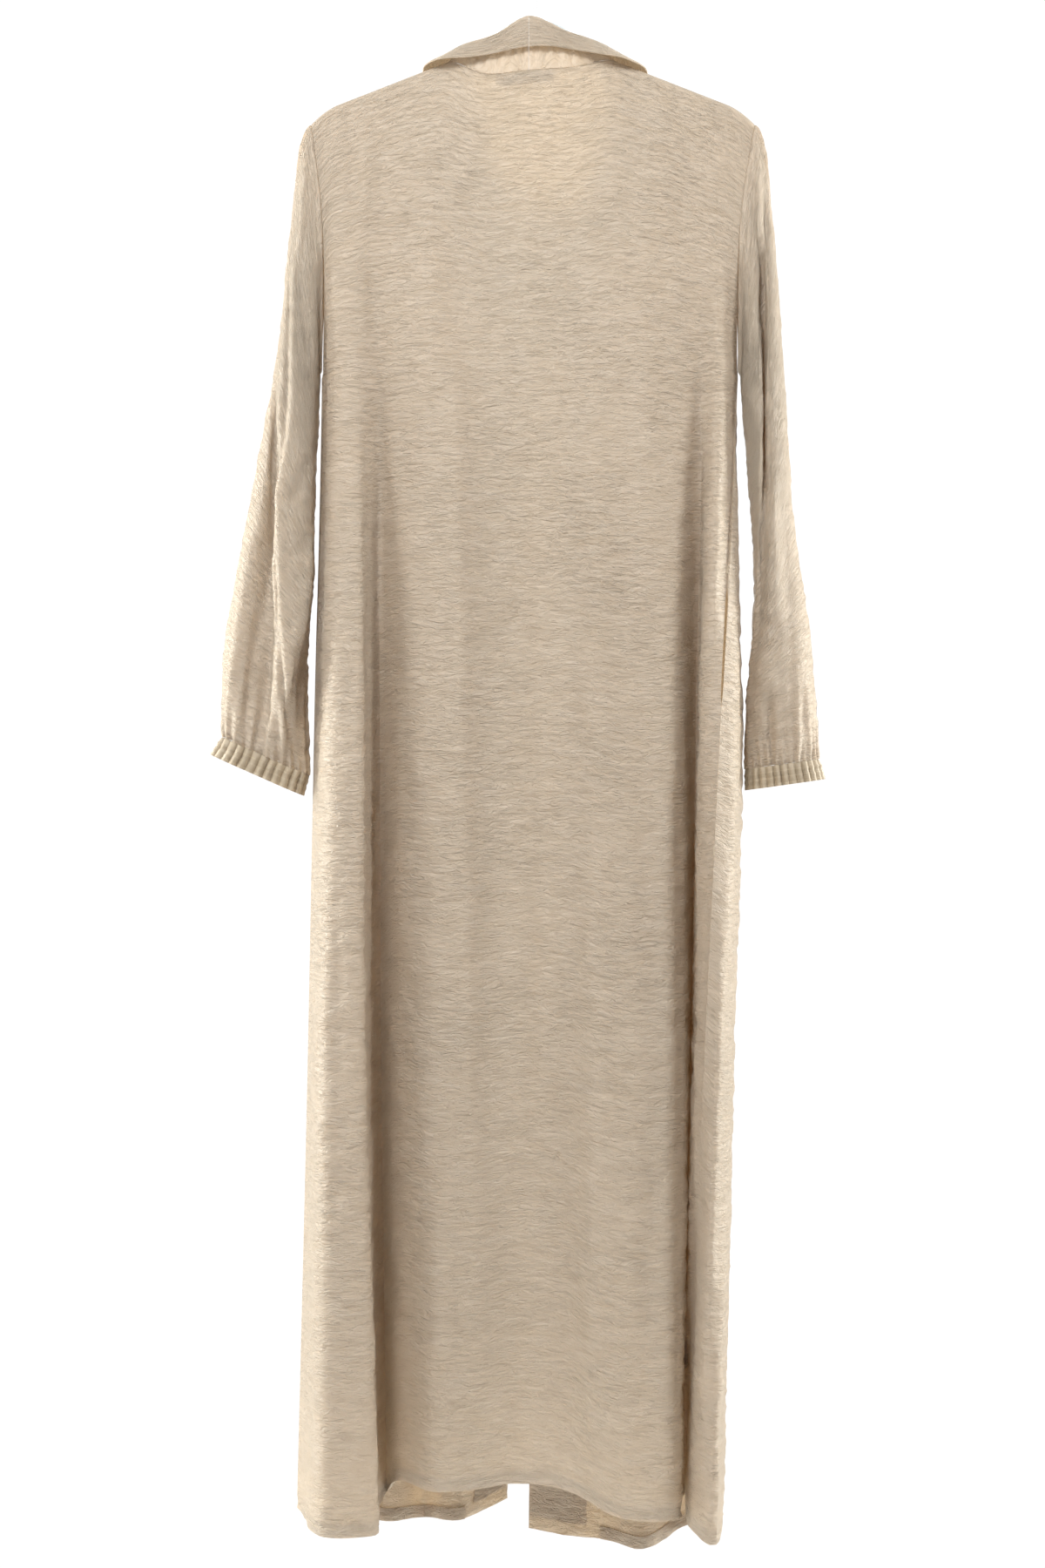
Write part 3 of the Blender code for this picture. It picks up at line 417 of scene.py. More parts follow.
backPanel = {
    # name, then (x, y) at the top, yoke, chest, waist, thigh and hem, top z, hem z, on the shoulder, columns
    "folds": (
        ("left seam", (214, 7.4), (204, 16), (204, 0), (211, 0), (217, 4), (227, 10), None, -1505, 1, 4),
        ("left roll", (197, 7.4), (190, 17), (188, 26), (188, 56), (189, 82), (188, 100), None, -1509, 1, 3),
        ("left edge", (178, 7.4), (172, 17), (168, 28), (165, 60), (163, 84), (149, 94), None, -1508, 1, 2),
        ("left wall", (165, 7.4), (162, 17), (160, 24), (159, 30), (159, 36), (151, 40), None, -1503, 1, 2),
        ("left valley", (152, 7.4), (153, 16), (150, 17), (149, 0), (148, -8), (143, -10), None, -1496, 1, 2),
        ("left rise", (128, 7.4), (132, 16), (130, 24), (128, 25), (128, 28), (127, 30), None, -1474, 1, 2),
        ("left swell", (84, 7.4), (96, 17), (96, 29), (95, 38), (95, 45), (94, 52), None, -1479, 1, 2),
        ("left of centre", (50, 16), (53, 17), (56, 26), (56, 31), (58, 36), (58, 40), -137, -1480, 0, 2),
        ("centre back", (6, 17), (8, 18), (10, 27), (12, 34), (12, 38), (12, 40), -134, -1474, 0, 2),
        ("right of centre", (-34, 16), (-33, 18), (-32, 27), (-31, 36), (-30, 42), (-29, 45), -131, -1479, 0, 2),
        ("right swell", (-78, 7.4), (-78, 17), (-82, 30), (-82, 42), (-82, 55), (-80, 66), None, -1500, 1, 4),
        ("right ridge", (-124, 7.4), (-128, 17), (-130, 26), (-131, 40), (-134, 50), (-134, 60), None, -1503, 1, 4),
        ("right valley", (-150, 7.4), (-154, 16), (-158, 19), (-155, -4), (-150, -12), (-137, 22), None, -1502, 1, 4),
        ("right edge", (-176, 7.4), (-176, 17), (-173, 29), (-164, 58), (-152, 48), (-138, -8), None, -1500, 1, 3),
        ("right seam", (-210, 7.4), (-197, 16), (-194, 0), (-174, 62), (-158, 74), (-144, -16), None, -1500, 1, 0),
    ),
    # name, upper end, lower end, depth and width; minus is a trough
    "creases": (
        ("centre streak", (14, -420), (8, -1250), -2.2, 9),
        ("beside the centre", (-8, -520), (-12, -1180), 1.8, 8),
        ("left blade", (96, -300), (112, -620), 2.4, 12),
        ("left of the blade", (124, -380), (132, -760), -2.6, 10),
        ("left yoke", (150, -190), (118, -330), -1.6, 12),
        ("right yoke", (-150, -190), (-128, -330), -1.6, 12),
        ("right blade", (-108, -330), (-100, -700), 2.0, 14),
        ("right waist", (-60, -620), (-66, -1120), -1.8, 12),
        ("left waist", (58, -640), (50, -1230), -2.0, 13),
        ("left hem swell", (90, -1180), (84, -1470), 2.2, 14),
        ("right hem swell", (-40, -1150), (-52, -1480), 2.0, 16),
        ("low left ripple", (30, -1210), (26, -1470), -1.6, 8),
        ("neck pull left", (46, -150), (80, -270), 1.2, 9),
        ("neck pull right", (-44, -150), (-84, -290), 1.2, 9),
        ("roll dent", (186, -900), (184, -1260), -1.8, 8),
        ("right valley", (-141, -760), (-141, -1480), -4.5, 9),
        ("left crest", (80, -360), (70, -700), (62, -1100), (58, -1478), 8, 15),
        ("centre hollow", (22, -480), (20, -900), (18, -1470), -4.5, 20),
        ("right crest", (-56, -420), (-58, -900), (-56, -1470), 8, 15),
        ("right slope", (-106, -560), (-108, -1000), (-106, -1480), -5, 16),
    ),
}
frontPanels = {
    "left": {
        "folds": (
            ("seam", (214, -7.4), (204, -16), (204, 0), (211, 0), (217, 4), (227, 10), None, -1505, 1, 4),
            ("outer", (196, -7.4), (195, -17), (199, -15), (208, -25), (214, -36), (221, -48), None, -1518, 1, 4),
            ("front ridge", (170, -7.4), (168, -18), (170, -30), (176, -50), (180, -76), (182, -98), None, -1532, 1, 4),
            ("front valley", (132, -7.4), (136, -17), (138, -25), (142, -34), (144, -46),
             (146, -52), None, -1534, 1, 3),
            ("inner ridge", (84, -7.4), (100, -18), (104, -32), (106, -52), (108, -82), (110, -104), None, -1544, 1, 2),
            ("inner valley", (68, -14), (71, -17), (70, -27), (70, -40), (72, -56), (74, -66), -150, -1537, 0, 2),
            ("lapel line", (50, -15), (44, -21), (42, -31), (42, -48), (44, -74), (46, -94), -212, -1533, 0, 2),
            ("front edge", (11, -24), (11, -28), (11, -33), (13, -46), (18, -64), (27, -82), -262, -1520, 0, 0),
        ),
        "creases": (
            ("bust line", (150, -280), (160, -700), -2.2, 12),
            ("inner line", (90, -330), (96, -820), 2.0, 12),
            ("low line", (60, -900), (62, -1440), -2.4, 11),
            ("outer line", (196, -720), (204, -1380), -2.0, 12),
            ("hem line", (126, -1100), (130, -1500), 2.0, 12),
            ("shoulder pull", (120, -170), (146, -330), 1.3, 10),
        ),
    },
    "right": {
        "folds": (
            ("seam", (-210, -7.4), (-197, -16), (-194, 0), (-174, 62), (-158, 74), (-144, -16), None, -1500, 1, 2),
            ("roll edge", (-200, -7.4), (-190, -17), (-193, -9), (-187, 51), (-168, 82), (-151, 76), None, -1514, 1, 2),
            ("roll", (-188, -7.4), (-182, -17), (-189, -19), (-195, 24), (-181, 60), (-161, 94), None, -1517, 1, 3),
            ("outer", (-176, -7.4), (-172, -17), (-180, -27), (-197, -8), (-189, 8), (-178, 24), None, -1510, 1, 3),
            ("front turn", (-160, -7.4), (-155, -17), (-162, -31), (-182, -36), (-184, -42),
             (-176, -46), None, -1530, 1, 3),
            ("front ridge", (-126, -7.4), (-127, -18), (-128, -30), (-142, -52), (-146, -80),
             (-142, -102), None, -1556, 1, 2),
            ("inner valley", (-78, -7.4), (-84, -18), (-98, -25), (-104, -38), (-106, -52),
             (-106, -60), None, -1564, 1, 2),
            ("inner ridge", (-68, -15), (-66, -19), (-64, -31), (-66, -50), (-68, -78), (-70, -98), -158, -1565, 0, 2),
            ("lapel line", (-58, -18), (-40, -22), (-31, -31), (-31, -47), (-31, -68), (-33, -86), -216, -1558, 0, 2),
            ("front edge", (-3, -24), (-3, -28), (-3, -33), (-2, -46), (0, -66), (6, -84), -262, -1550, 0, 0),
        ),
        "creases": (
            ("bust line", (-140, -280), (-158, -700), -2.2, 12),
            ("inner line", (-84, -330), (-86, -820), 2.0, 12),
            ("low line", (-50, -900), (-52, -1440), -2.4, 11),
            ("hem line", (-120, -1100), (-124, -1500), 2.0, 12),
            ("shoulder pull", (-120, -170), (-146, -330), 1.3, 10),
        ),
    },
}
backGrid = panelGrid(backPanel["folds"])
frontGrids = {side: panelGrid(frontPanels[side]["folds"]) for side in frontPanels}
detail = cloth["columnDetail"]
shoulderCols = 15 * detail
neckCols = 8 * detail
lapelCols = 6 * detail
for side, edge in (("left", 0), ("right", -1)):
    seam = (backGrid[armRows - 1:, edge] + frontGrids[side][armRows - 1:, 0]) / 2
    backGrid[armRows - 1:, edge] = seam
    frontGrids[side][armRows - 1:, 0] = seam
backOut = outward(backGrid, 1)
frontOuts = {"left": outward(frontGrids["left"], -1), "right": outward(frontGrids["right"], 1)}
for side, edge in (("left", 0), ("right", -1)):
    both = unit(backOut[:, edge] + frontOuts[side][:, 0])
    backOut[armRows - 1:, edge] = both[armRows - 1:]
    frontOuts[side][armRows - 1:, 0] = both[armRows - 1:]
    span = slice(0, shoulderCols + 1)
    top = backOut[0, span] if side == "left" else backOut[0, ::-1][span]
    both = unit(top + frontOuts[side][0, span])
    frontOuts[side][0, span] = both
    if side == "left":
        backOut[0, span] = both
    else:
        backOut[0, -shoulderCols - 1:] = both[::-1]
plainBack = backGrid.copy()
plainFronts = {side: grid.copy() for side, grid in frontGrids.items()}
backGrid = crumple(backGrid, backOut, backPanel["creases"], 1.0, edgeFade(backGrid.shape, top=12, first=6, last=6))
for side in frontGrids:
    frontGrids[side] = crumple(frontGrids[side], frontOuts[side], frontPanels[side]["creases"], 1.0,
                               edgeFade(frontGrids[side].shape, top=12, first=6, last=6))

# the armhole seams lie in a shallow groove
groove = {"deep": 1.3, "columns": 2.2, "reach": 7}
for side, edge in (("left", 0), ("right", -1)):
    for c in range(groove["reach"]):
        deep = groove["deep"] * math.exp(-c / groove["columns"])
        col = c if edge == 0 else -1 - c
        backGrid[6:armRows, col] -= backOut[6:armRows, col] * deep
        frontGrids[side][6:armRows, c] -= frontOuts[side][6:armRows, c] * deep

pocket = {"rows": (0.19, 0.30), "gape": 1.5}    # shares of the skirt where the slit stands open


def sewnSides(grid, edges):
    for edge in edges:
        grid = pullIn(grid, edge, cloth["seamGap"] / 2)
    return grid


def openPocket(grid, edge):
    col, near = (0, 1) if edge == "first" else (-1, -2)
    for r, (_, skirt) in enumerate(rowShares):
        if skirt is not None:
            lift = smooth((skirt - pocket["rows"][0]) / 0.02) * smooth((pocket["rows"][1] - skirt) / 0.02)
            grid[r, col] = grid[r, col] + unit(grid[r, near] - grid[r, col]) * pocket["gape"] * lift
    return grid


# the hem's stitches draw the cloth in, unevenly
for grid, out in [(backGrid, backOut)] + [(frontGrids[side], frontOuts[side]) for side in frontGrids]:
    draw = 0.6 + 0.35 * np.sin(grid[-2, :, 0] / 2.7) * np.sin(grid[-2, :, 0] / 7.1 + 1)
    grid[-2] -= out[-2] * draw[:, None]

sewnBack = openPocket(sewnSides(backGrid, ("top", "first", "last")), "last")
backObj = clothMesh("back_crepe", sewnBack, backOut, crepe)
frontObjs = {}
sewnFronts = {}
for side in frontGrids:
    sewn = sewnSides(frontGrids[side], ("top", "first", "last"))
    if side == "right":
        sewn = openPocket(sewn, "first")
    sewnFronts[side] = sewn
    frontObjs[side] = clothMesh("front_" + side + "_crepe", sewn, frontOuts[side], crepe)
print("stage: panels made")

# the facings lie on the inside of the front edges
facing = {"columns": 3 * detail, "gap": 0.3}
facingObjs = {}
facingGrids = {}
for side in frontGrids:
    part = (slice(14, -2), slice(-facing["columns"] - 1, None))
    out = frontOuts[side][part]
    facingGrids[side] = frontGrids[side][part] - out * (cloth["wall"] + facing["gap"])
    facingObjs[side] = clothMesh("facing_" + side + "_crepe", facingGrids[side], out, crepe)

# the hems are turned up on the inside
hem = {"deep": 9.0, "gap": 0.25}
hemObjs = []


def hemBand(name, grid, normals, first, last):
    rows = max(2, int(round(hem["deep"] / cloth["rowStep"])) + 1)
    part = (grid - normals * (cloth["wall"] + hem["gap"]))[-rows:, first:last]
    return clothMesh(name, part, normals[-rows:, first:last], crepe)


hemObjs.append(hemBand("hem_back", sewnBack, backOut, 2, -2))
for side in frontGrids:
    hemObjs.append(hemBand("hem_front_" + side, sewnFronts[side], frontOuts[side], 2, -facing["columns"] - 3))

sleeveStations = (0.0, 0.14, 0.36, 0.6, 0.84, 1.0)
sleeves = {
    "left": {
        "outerZ": (-260, -400, -550, -690, -769),
        "innerZ": (-452, -532, -632, -735, -806),
        "folds": (
            ("outer", (231, 0), (247, 0), (274, 0), (298, 0), (300, 0)),
            ("outer back", (228, 12), (241, 13), (262, 14), (278, 15), (284, 12)),
            ("valley", (223, 16), (236, 16), (250, 9), (254, 8), (265, 13)),
            ("flap edge", (219, 18), (232, 24), (245, 34), (243, 34), (250, 15)),
            ("flap", (215, 18), (223, 26), (229, 36), (236, 36), (240, 15)),
            ("flap inner edge", (211, 15), (214, 22), (214, 28), (231, 28), (230, 14)),
            ("inner back", (208, 8), (211, 10), (213, 12), (224, 9), (220, 8)),
            ("inner", (207, 0), (211, 0), (216, 0), (218, -2), (216, 0)),
            ("inner front", (209, -10), (214, -14), (224, -18), (228, -18), (224, -9)),
            ("front", (217, -17), (228, -22), (243, -28), (255, -28), (252, -14)),
            ("outer front", (226, -13), (240, -15), (264, -18), (286, -16), (288, -10)),
        ),
        "creases": (
            ("head gather 1", (222, -176), (236, -290), -1.4, 4),
            ("head gather 2", (216, -190), (226, -320), 1.4, 4),
            ("head gather 3", (226, -170), (244, -300), 1.2, 5),
            ("inner crease", (214, -500), (226, -540), (240, -548), -2.6, 6),
            ("inner crease below", (206, -560), (222, -596), (238, -600), -2.2, 6),
            ("flap border", (242, -400), (242, -520), (242, -565), (239, -653), (232, -720), (218, -800), 3.6, 4.5),
            ("beside the flap", (249.5, -400), (249.5, -520), (249.5, -568), (246.5, -655), (239.5, -722),
             (226, -806), -5, 3),
            ("flap turn", (206, -470), (204, -540), (212, -620), (220, -665), (227, -720), (226, -780), 3.4, 6),
            ("behind the flap", (200, -600), (207, -660), (214, -720), (214, -790), -5.5, 6),
            ("elbow fold", (252, -520), (226, -575), 2.0, 7),
            ("outer line 1", (262, -640), (272, -712), (280, -800), -2.6, 5),
            ("outer line 2", (268, -560), (282, -650), (292, -760), 2.4, 6),
            ("outer line 3", (282, -690), (290, -790), -2.0, 5),
            ("wrist fold", (258, -745), (252, -812), 2.2, 5),
        ),
    },
    "right": {
        "outerZ": (-260, -400, -550, -690, -790),
        "innerZ": (-452, -532, -632, -735, -800),
        "folds": (
            ("outer", (-225, 0), (-237, 0), (-247, 0), (-265, 0), (-272, 0)),
            ("outer back", (-223, 11), (-232, 14), (-239, 16), (-254, 18), (-262, 12)),
            ("main edge", (-220, 15), (-223, 21), (-221, 24), (-226, 25), (-246, 16)),
            ("valley", (-216, 6), (-219, 8), (-216, 19), (-214, 22), (-232, 16)),
            ("strip", (-209, 18), (-214, 22), (-213, 17), (-209, 18), (-218, 14)),
            ("strip inner edge", (-203, 12), (-208, 14), (-210, 9), (-204, 10), (-207, 9)),
            ("inner", (-199, 0), (-205, 0), (-210, -2), (-203, -2), (-201, 0)),
            ("inner front", (-202, -11), (-209, -15), (-214, -16), (-212, -17), (-208, -9)),
            ("front", (-211, -17), (-220, -22), (-228, -27), (-234, -27), (-235, -14)),
            ("outer front", (-220, -12), (-231, -15), (-240, -17), (-254, -17), (-260, -11)),
        ),
        "creases": (
            ("head gather 1", (-214, -176), (-226, -290), -1.4, 4),
            ("head gather 2", (-208, -190), (-216, -320), 1.4, 4),
            ("underarm crumple 1", (-206, -400), (-216, -430), -2.6, 5),
            ("underarm crumple 2", (-204, -440), (-218, -470), 2.2, 6),
            ("underarm crumple 3", (-206, -480), (-214, -510), -2.2, 6),
            ("strip border", (-221, -225), (-219, -330), (-217, -400), (-219, -480), (-222, -560), -4.5, 4),
            ("strip", (-213, -240), (-209, -340), (-208, -420), 2.4, 6),
            ("inner border", (-217, -560), (-212, -640), (-205, -700), (-198, -780), -3.6, 6),
            ("underarm hollow", (-203, -560), (-202, -630), -4.0, 6),
            ("elbow bulge", (-216, -690), (-222, -730), 3.2, 10),
            ("forearm line", (-236, -520), (-242, -640), (-252, -780), -2.6, 7),
            ("main line", (-228, -300), (-234, -420), (-238, -540), 2.4, 7),
            ("outer line", (-244, -640), (-256, -790), 2.2, 6),
            ("wrist fold", (-222, -730), (-220, -792), -2.4, 5),
            ("elbow crease", (-212, -655), (-232, -668), -2.0, 5),
        ),
    },
}
sleeveDetail = {"columns": 168, "rows": 108, "leave": (190.0, 0.0, -60.0)}
cuffs = {"pleats": 24, "deep": 20.0, "perPleat": 8, "wave": 3.4, "wall": 0.9, "rows": 11}


def armholeLoop(back, front, edge):
    loop = np.concatenate([back[:armRows, edge], front[armRows - 2::-1, 0]])
    # each armhole share keeps its place in the count, as in the plain solids
    coarse = np.array((0.0, 0.0094, 0.032, 0.1, 0.22, 0.41, 0.61, 0.81, 1.0))
    place = np.interp(armholeShares, coarse, np.arange(9))
    index = np.concatenate([place, 16 - place[-2::-1]])
    at = np.linspace(0, 16, sleeveDetail["columns"], endpoint=False)
    return np.stack([np.interp(at, index, loop[:, c]) for c in range(3)], axis=1)


def sleeveGrid(table, loop, side):
    half = len(loop) // 2
    names = [fold[0] for fold in table["folds"]]
    inner = names.index("inner")
    run = np.concatenate([[0], np.cumsum(np.linalg.norm(np.diff(np.vstack([loop, loop[:1]]), axis=0), axis=1))])
    backShare = run[:half + 1] / run[half]
    frontShare = (run[half:] - run[half]) / (run[-1] - run[half])
    even = np.linspace(0, 1, half + 1)
    stations = [loop]
    for s in range(len(sleeveStations) - 1):
        ring = [fold[1 + s] for fold in table["folds"]]
        line = denseLine(ring[-2:] + ring + ring[:3])[24:24 + 12 * len(ring) + 1]
        blend = min(1, sleeveStations[s + 1] / 0.6)
        backHalf = shareOut(line[:inner * 12 + 1], backShare * (1 - blend) + even * blend)
        frontHalf = shareOut(line[inner * 12:], frontShare * (1 - blend) + even * blend)
        flat = np.concatenate([backHalf[:-1], frontHalf[:-1]])
        inward = (flat[:, 0] - ring[0][0]) / (ring[inner][0] - ring[0][0])
        z = table["outerZ"][s] + (table["innerZ"][s] - table["outerZ"][s]) * inward
        stations.append(np.column_stack([flat, z]))
    shares = np.concatenate([[0, 0.004, 0.01, 0.018], np.linspace(0.028, 1, sleeveDetail["rows"] - 4)])
    leave = np.array(sleeveDetail["leave"]) * (side, 1, 1)
    return spline(sleeveStations, np.array(stations), shares, startSlope=leave)


def wristDown(table):
    outer = np.array([table["folds"][0][-1][0], table["outerZ"][-1]], float)
    inner = [fold for fold in table["folds"] if fold[0] == "inner"][0]
    along = unit(np.array([inner[-1][0], table["innerZ"][-1]], float) - outer)
    down = np.array([along[1], 0, -along[0]])
    return -down if down[2] > 0 else down


sleeveObjs = {}
cuffObjs = {}
cuffGrids = {}
for sign, side, edge in ((1, "left", 0), (-1, "right", -1)):
    table = sleeves[side]
    loop = armholeLoop(plainBack, plainFronts[side], edge)
    grid = sleeveGrid(table, loop, sign)
    out = outward(grid, sign, closed=True)
    rows, cols = grid.shape[:2]
    grid = crumple(grid, out, table["creases"], 0.9, edgeFade(grid.shape, top=8))
    # gathers run up from the cuff and down from the sleeve head
    turn = np.arange(cols) / cols * 2 * math.pi
    uneven = 1 + 0.45 * np.sin(turn * 5 + 1.3) * np.sin(turn * 3 + 0.4)
    upRows = (rows - 1 - np.arange(rows)).astype(float)
    head = np.exp(-np.abs(np.minimum(turn, 2 * math.pi - turn)) * 1.6)
    downFromHead = np.exp(-((np.arange(rows) - 6) / 7.0) ** 2)
    narrow = np.cos(turn * cuffs["pleats"]) * uneven
    wide = np.cos(turn * 11 + 0.8) + 0.7 * np.cos(turn * 17 + 2.1)
    downRows = np.arange(rows)
    gather = narrow[None, :] * (1.5 * np.exp(-upRows / 3.5))[:, None]
    gather = gather + wide[None, :] * (1.1 * np.exp(-((upRows - 6) / 7.0) ** 2))[:, None]
    gather = gather - (2.2 * np.exp(-upRows / 1.1))[:, None]
    gather = gather - (1.5 * np.exp(-downRows / 2.0))[:, None] + (1.2 * np.exp(-((downRows - 9) / 5.0) ** 2))[:, None]
    gather = gather + (np.cos(turn * 30 + 0.6) * head * 1.5)[None, :] * downFromHead[:, None]
    grid = grid + out * gather[..., None]
    grid = pullIn(pullIn(grid, "top", cloth["seamGap"] / 2), "bottom", cloth["seamGap"] / 2)
    sleeveObjs[side] = clothMesh("sleeve_" + side + "_crepe", grid, out, crepe, closed=True)

    axis = wristDown(table)
    ringCols = cuffs["pleats"] * cuffs["perPleat"]
    endRow = sleeveGrid(table, loop, sign)[-1]
    closedRow = np.vstack([endRow, endRow[:1]])
    at = np.linspace(0, cols, ringCols, endpoint=False)
    ring = np.stack([np.interp(at, np.arange(cols + 1), closedRow[:, c]) for c in range(3)], axis=1)
    middle = ring.mean(axis=0)
    cuffTurn = np.arange(ringCols) / ringCols * 2 * math.pi
    cuffRows = []
    for share in np.linspace(0, 1, cuffs["rows"]):
        size = 1.0 - 0.035 * math.sin(math.pi * min(share * 1.15, 1)) + 0.02 * share
        cuffRows.append(middle + (ring - middle) * size + axis * cuffs["deep"] * share)
    cuffGrid = np.array(cuffRows)
    cuffOut = outward(cuffGrid, sign, closed=True)
    share = np.linspace(0, 1, cuffs["rows"])[:, None]
    pleat = (2 * np.abs(np.cos(cuffTurn * cuffs["pleats"] / 2)) ** 0.8 - 1)[None, :]
    pleat = pleat * (1 + 0.3 * np.sin(cuffTurn * 7 + 2))[None, :]
    wave = pleat * (0.6 + 0.4 * smooth(share * 3)) * cuffs["wave"] / 2
    channels = 0.35 * np.cos(share * 2 * math.pi * 3)    # three rows of elastic thread
    pinch = -2.0 * np.exp(-share * 9) + 0.7 * np.sin(math.pi * share)
    cuffGrid = cuffGrid + cuffOut * (wave + channels + pinch)[..., None]
    cuffGrid = pullIn(cuffGrid, "top", cloth["seamGap"] / 2)
    cuffGrids[side] = cuffGrid
    cuffObjs[side] = clothMesh("cuff_" + side + "_crepe", cuffGrid, cuffOut, crepeCuffShaded, cuffs["wall"], closed=True)
print("stage: sleeves and cuffs made")

collar = {
    # name, place along the seam, stand, fall, roll, then the stand's, the outward and the fall's directions
    "sections": (
        ("centre back", 0.0, 48.5, 28.0, 3.4, (0, -0.06, 1), (0, 1, 0.05), (0, 0.06, -1)),
        ("beside the centre", 0.18, 45.5, 26.0, 3.4, (-0.1, -0.06, 0.99), (0.1, 0.99, 0.1), (0.1, 0.1, -0.99)),
        ("back neck", 0.45, 36.0, 20.0, 3.2, (-0.25, -0.08, 0.96), (0.2, 0.96, 0.2), (0.25, 0.14, -0.96)),
        ("behind the shoulder", 0.85, 16.5, 23.0, 3.0, (-0.55, 0, 0.83), (0.5, 0.65, 0.56), (0.75, 0.34, -0.56)),
        ("shoulder", 1.0, 7.0, 21.0, 3.0, (-0.75, 0, 0.66), (0.6, 0, 0.8), (0.91, 0, -0.42)),
        ("before the shoulder", 1.15, 4.0, 30.0, 2.8, (-0.88, 0, 0.48), (0.4, -0.75, 0.52), (0.88, -0.25, -0.4)),
        ("upper lapel", 1.4, 1.8, 50.0, 2.4, (-0.94, 0, 0.34), (0.05, -0.99, 0.1), (0.94, 0, -0.34)),
        ("middle lapel", 1.8, 1.6, 70.0, 2.2, (-0.94, 0, 0.34), (0, -1, 0), (0.94, 0, -0.34)),
        ("lapel point", 2.25, 1.6, 84.0, 2.2, (-0.94, 0, 0.34), (0, -1, 0), (0.94, 0, -0.34)),
        ("lower lapel", 2.65, 1.6, 50.0, 2.2, (-0.94, 0, 0.34), (0, -1, 0), (0.94, 0, -0.34)),
        ("break", 3.0, 1.6, 9.0, 2.2, (-0.94, 0, 0.34), (0, -1, 0), (0.94, 0, -0.34)),
    ),
    "columns": 120,
    "pullAt": (0, 0.6, 0.8, 1.3, 1.6, 1.8, 2.0, 2.3, 3),
    "pull": (0.1, 0.1, 0.3, 0.3, 0.3, 0.4, 0.5, 0.4, 0.3),
    "lapelRows": 0.81,    # share of the armhole where the lapel ends
    "lift": 2.2,
    "near": 15.0,
    "reach": {"left": 8.0, "right": 15.0},    # mm that the fall lies further out on each shoulder
}


def collarSeam(back, front, left):
    middle = shoulderCols + neckCols // 2
    point = shoulderCols if left else shoulderCols + neckCols
    step = -1 if left else 1
    neck = list(range(middle, point + step, step))
    base = [back[0, c] for c in neck]
    place = list(np.linspace(0, 1, len(neck)))
    for i in range(1, lapelCols + 1):
        base.append(front[0, shoulderCols + i])
        place.append(1 + i / lapelCols)
    # the solids' lapel is sewn to eight rows of the front edge, at these shares of the armhole
    stops = np.array((0.0, 0.032, 0.1, 0.22, 0.41, 0.61, 0.81, 1.0))
    for r in range(1, armRows):
        base.append(front[r, -1])
        place.append(2 + np.interp(armholeShares[r], stops, np.arange(8) / 7))
    at = np.linspace(0, 3, collar["columns"])
    return at, np.stack([np.interp(at, place, np.array(base)[:, c]) for c in range(3)], axis=1)


def searchSkin(panels):
    points = []
    faces = []
    for grid, turned in panels:
        rows, cols = grid.shape[:2]
        first = len(points)
        points += [tuple(p) for p in grid.reshape(-1, 3)]
        for r in range(rows - 1):
            for c in range(cols - 1):
                a = first + r * cols + c
                face = (a, a + 1, a + cols + 1, a + cols)
                faces.append(face[::-1] if turned else face)
    return BVHTree.FromPolygons(points, faces)


def liftOff(skin, point, need):
    for _ in range(4):
        near, normal, _, far = skin.find_nearest(tuple(point))
        normal = np.array(normal)
        height = (point - np.array(near)) @ normal
        if height >= need or far > collar["near"]:
            return point
        point = point + normal * (need - height)
    return point


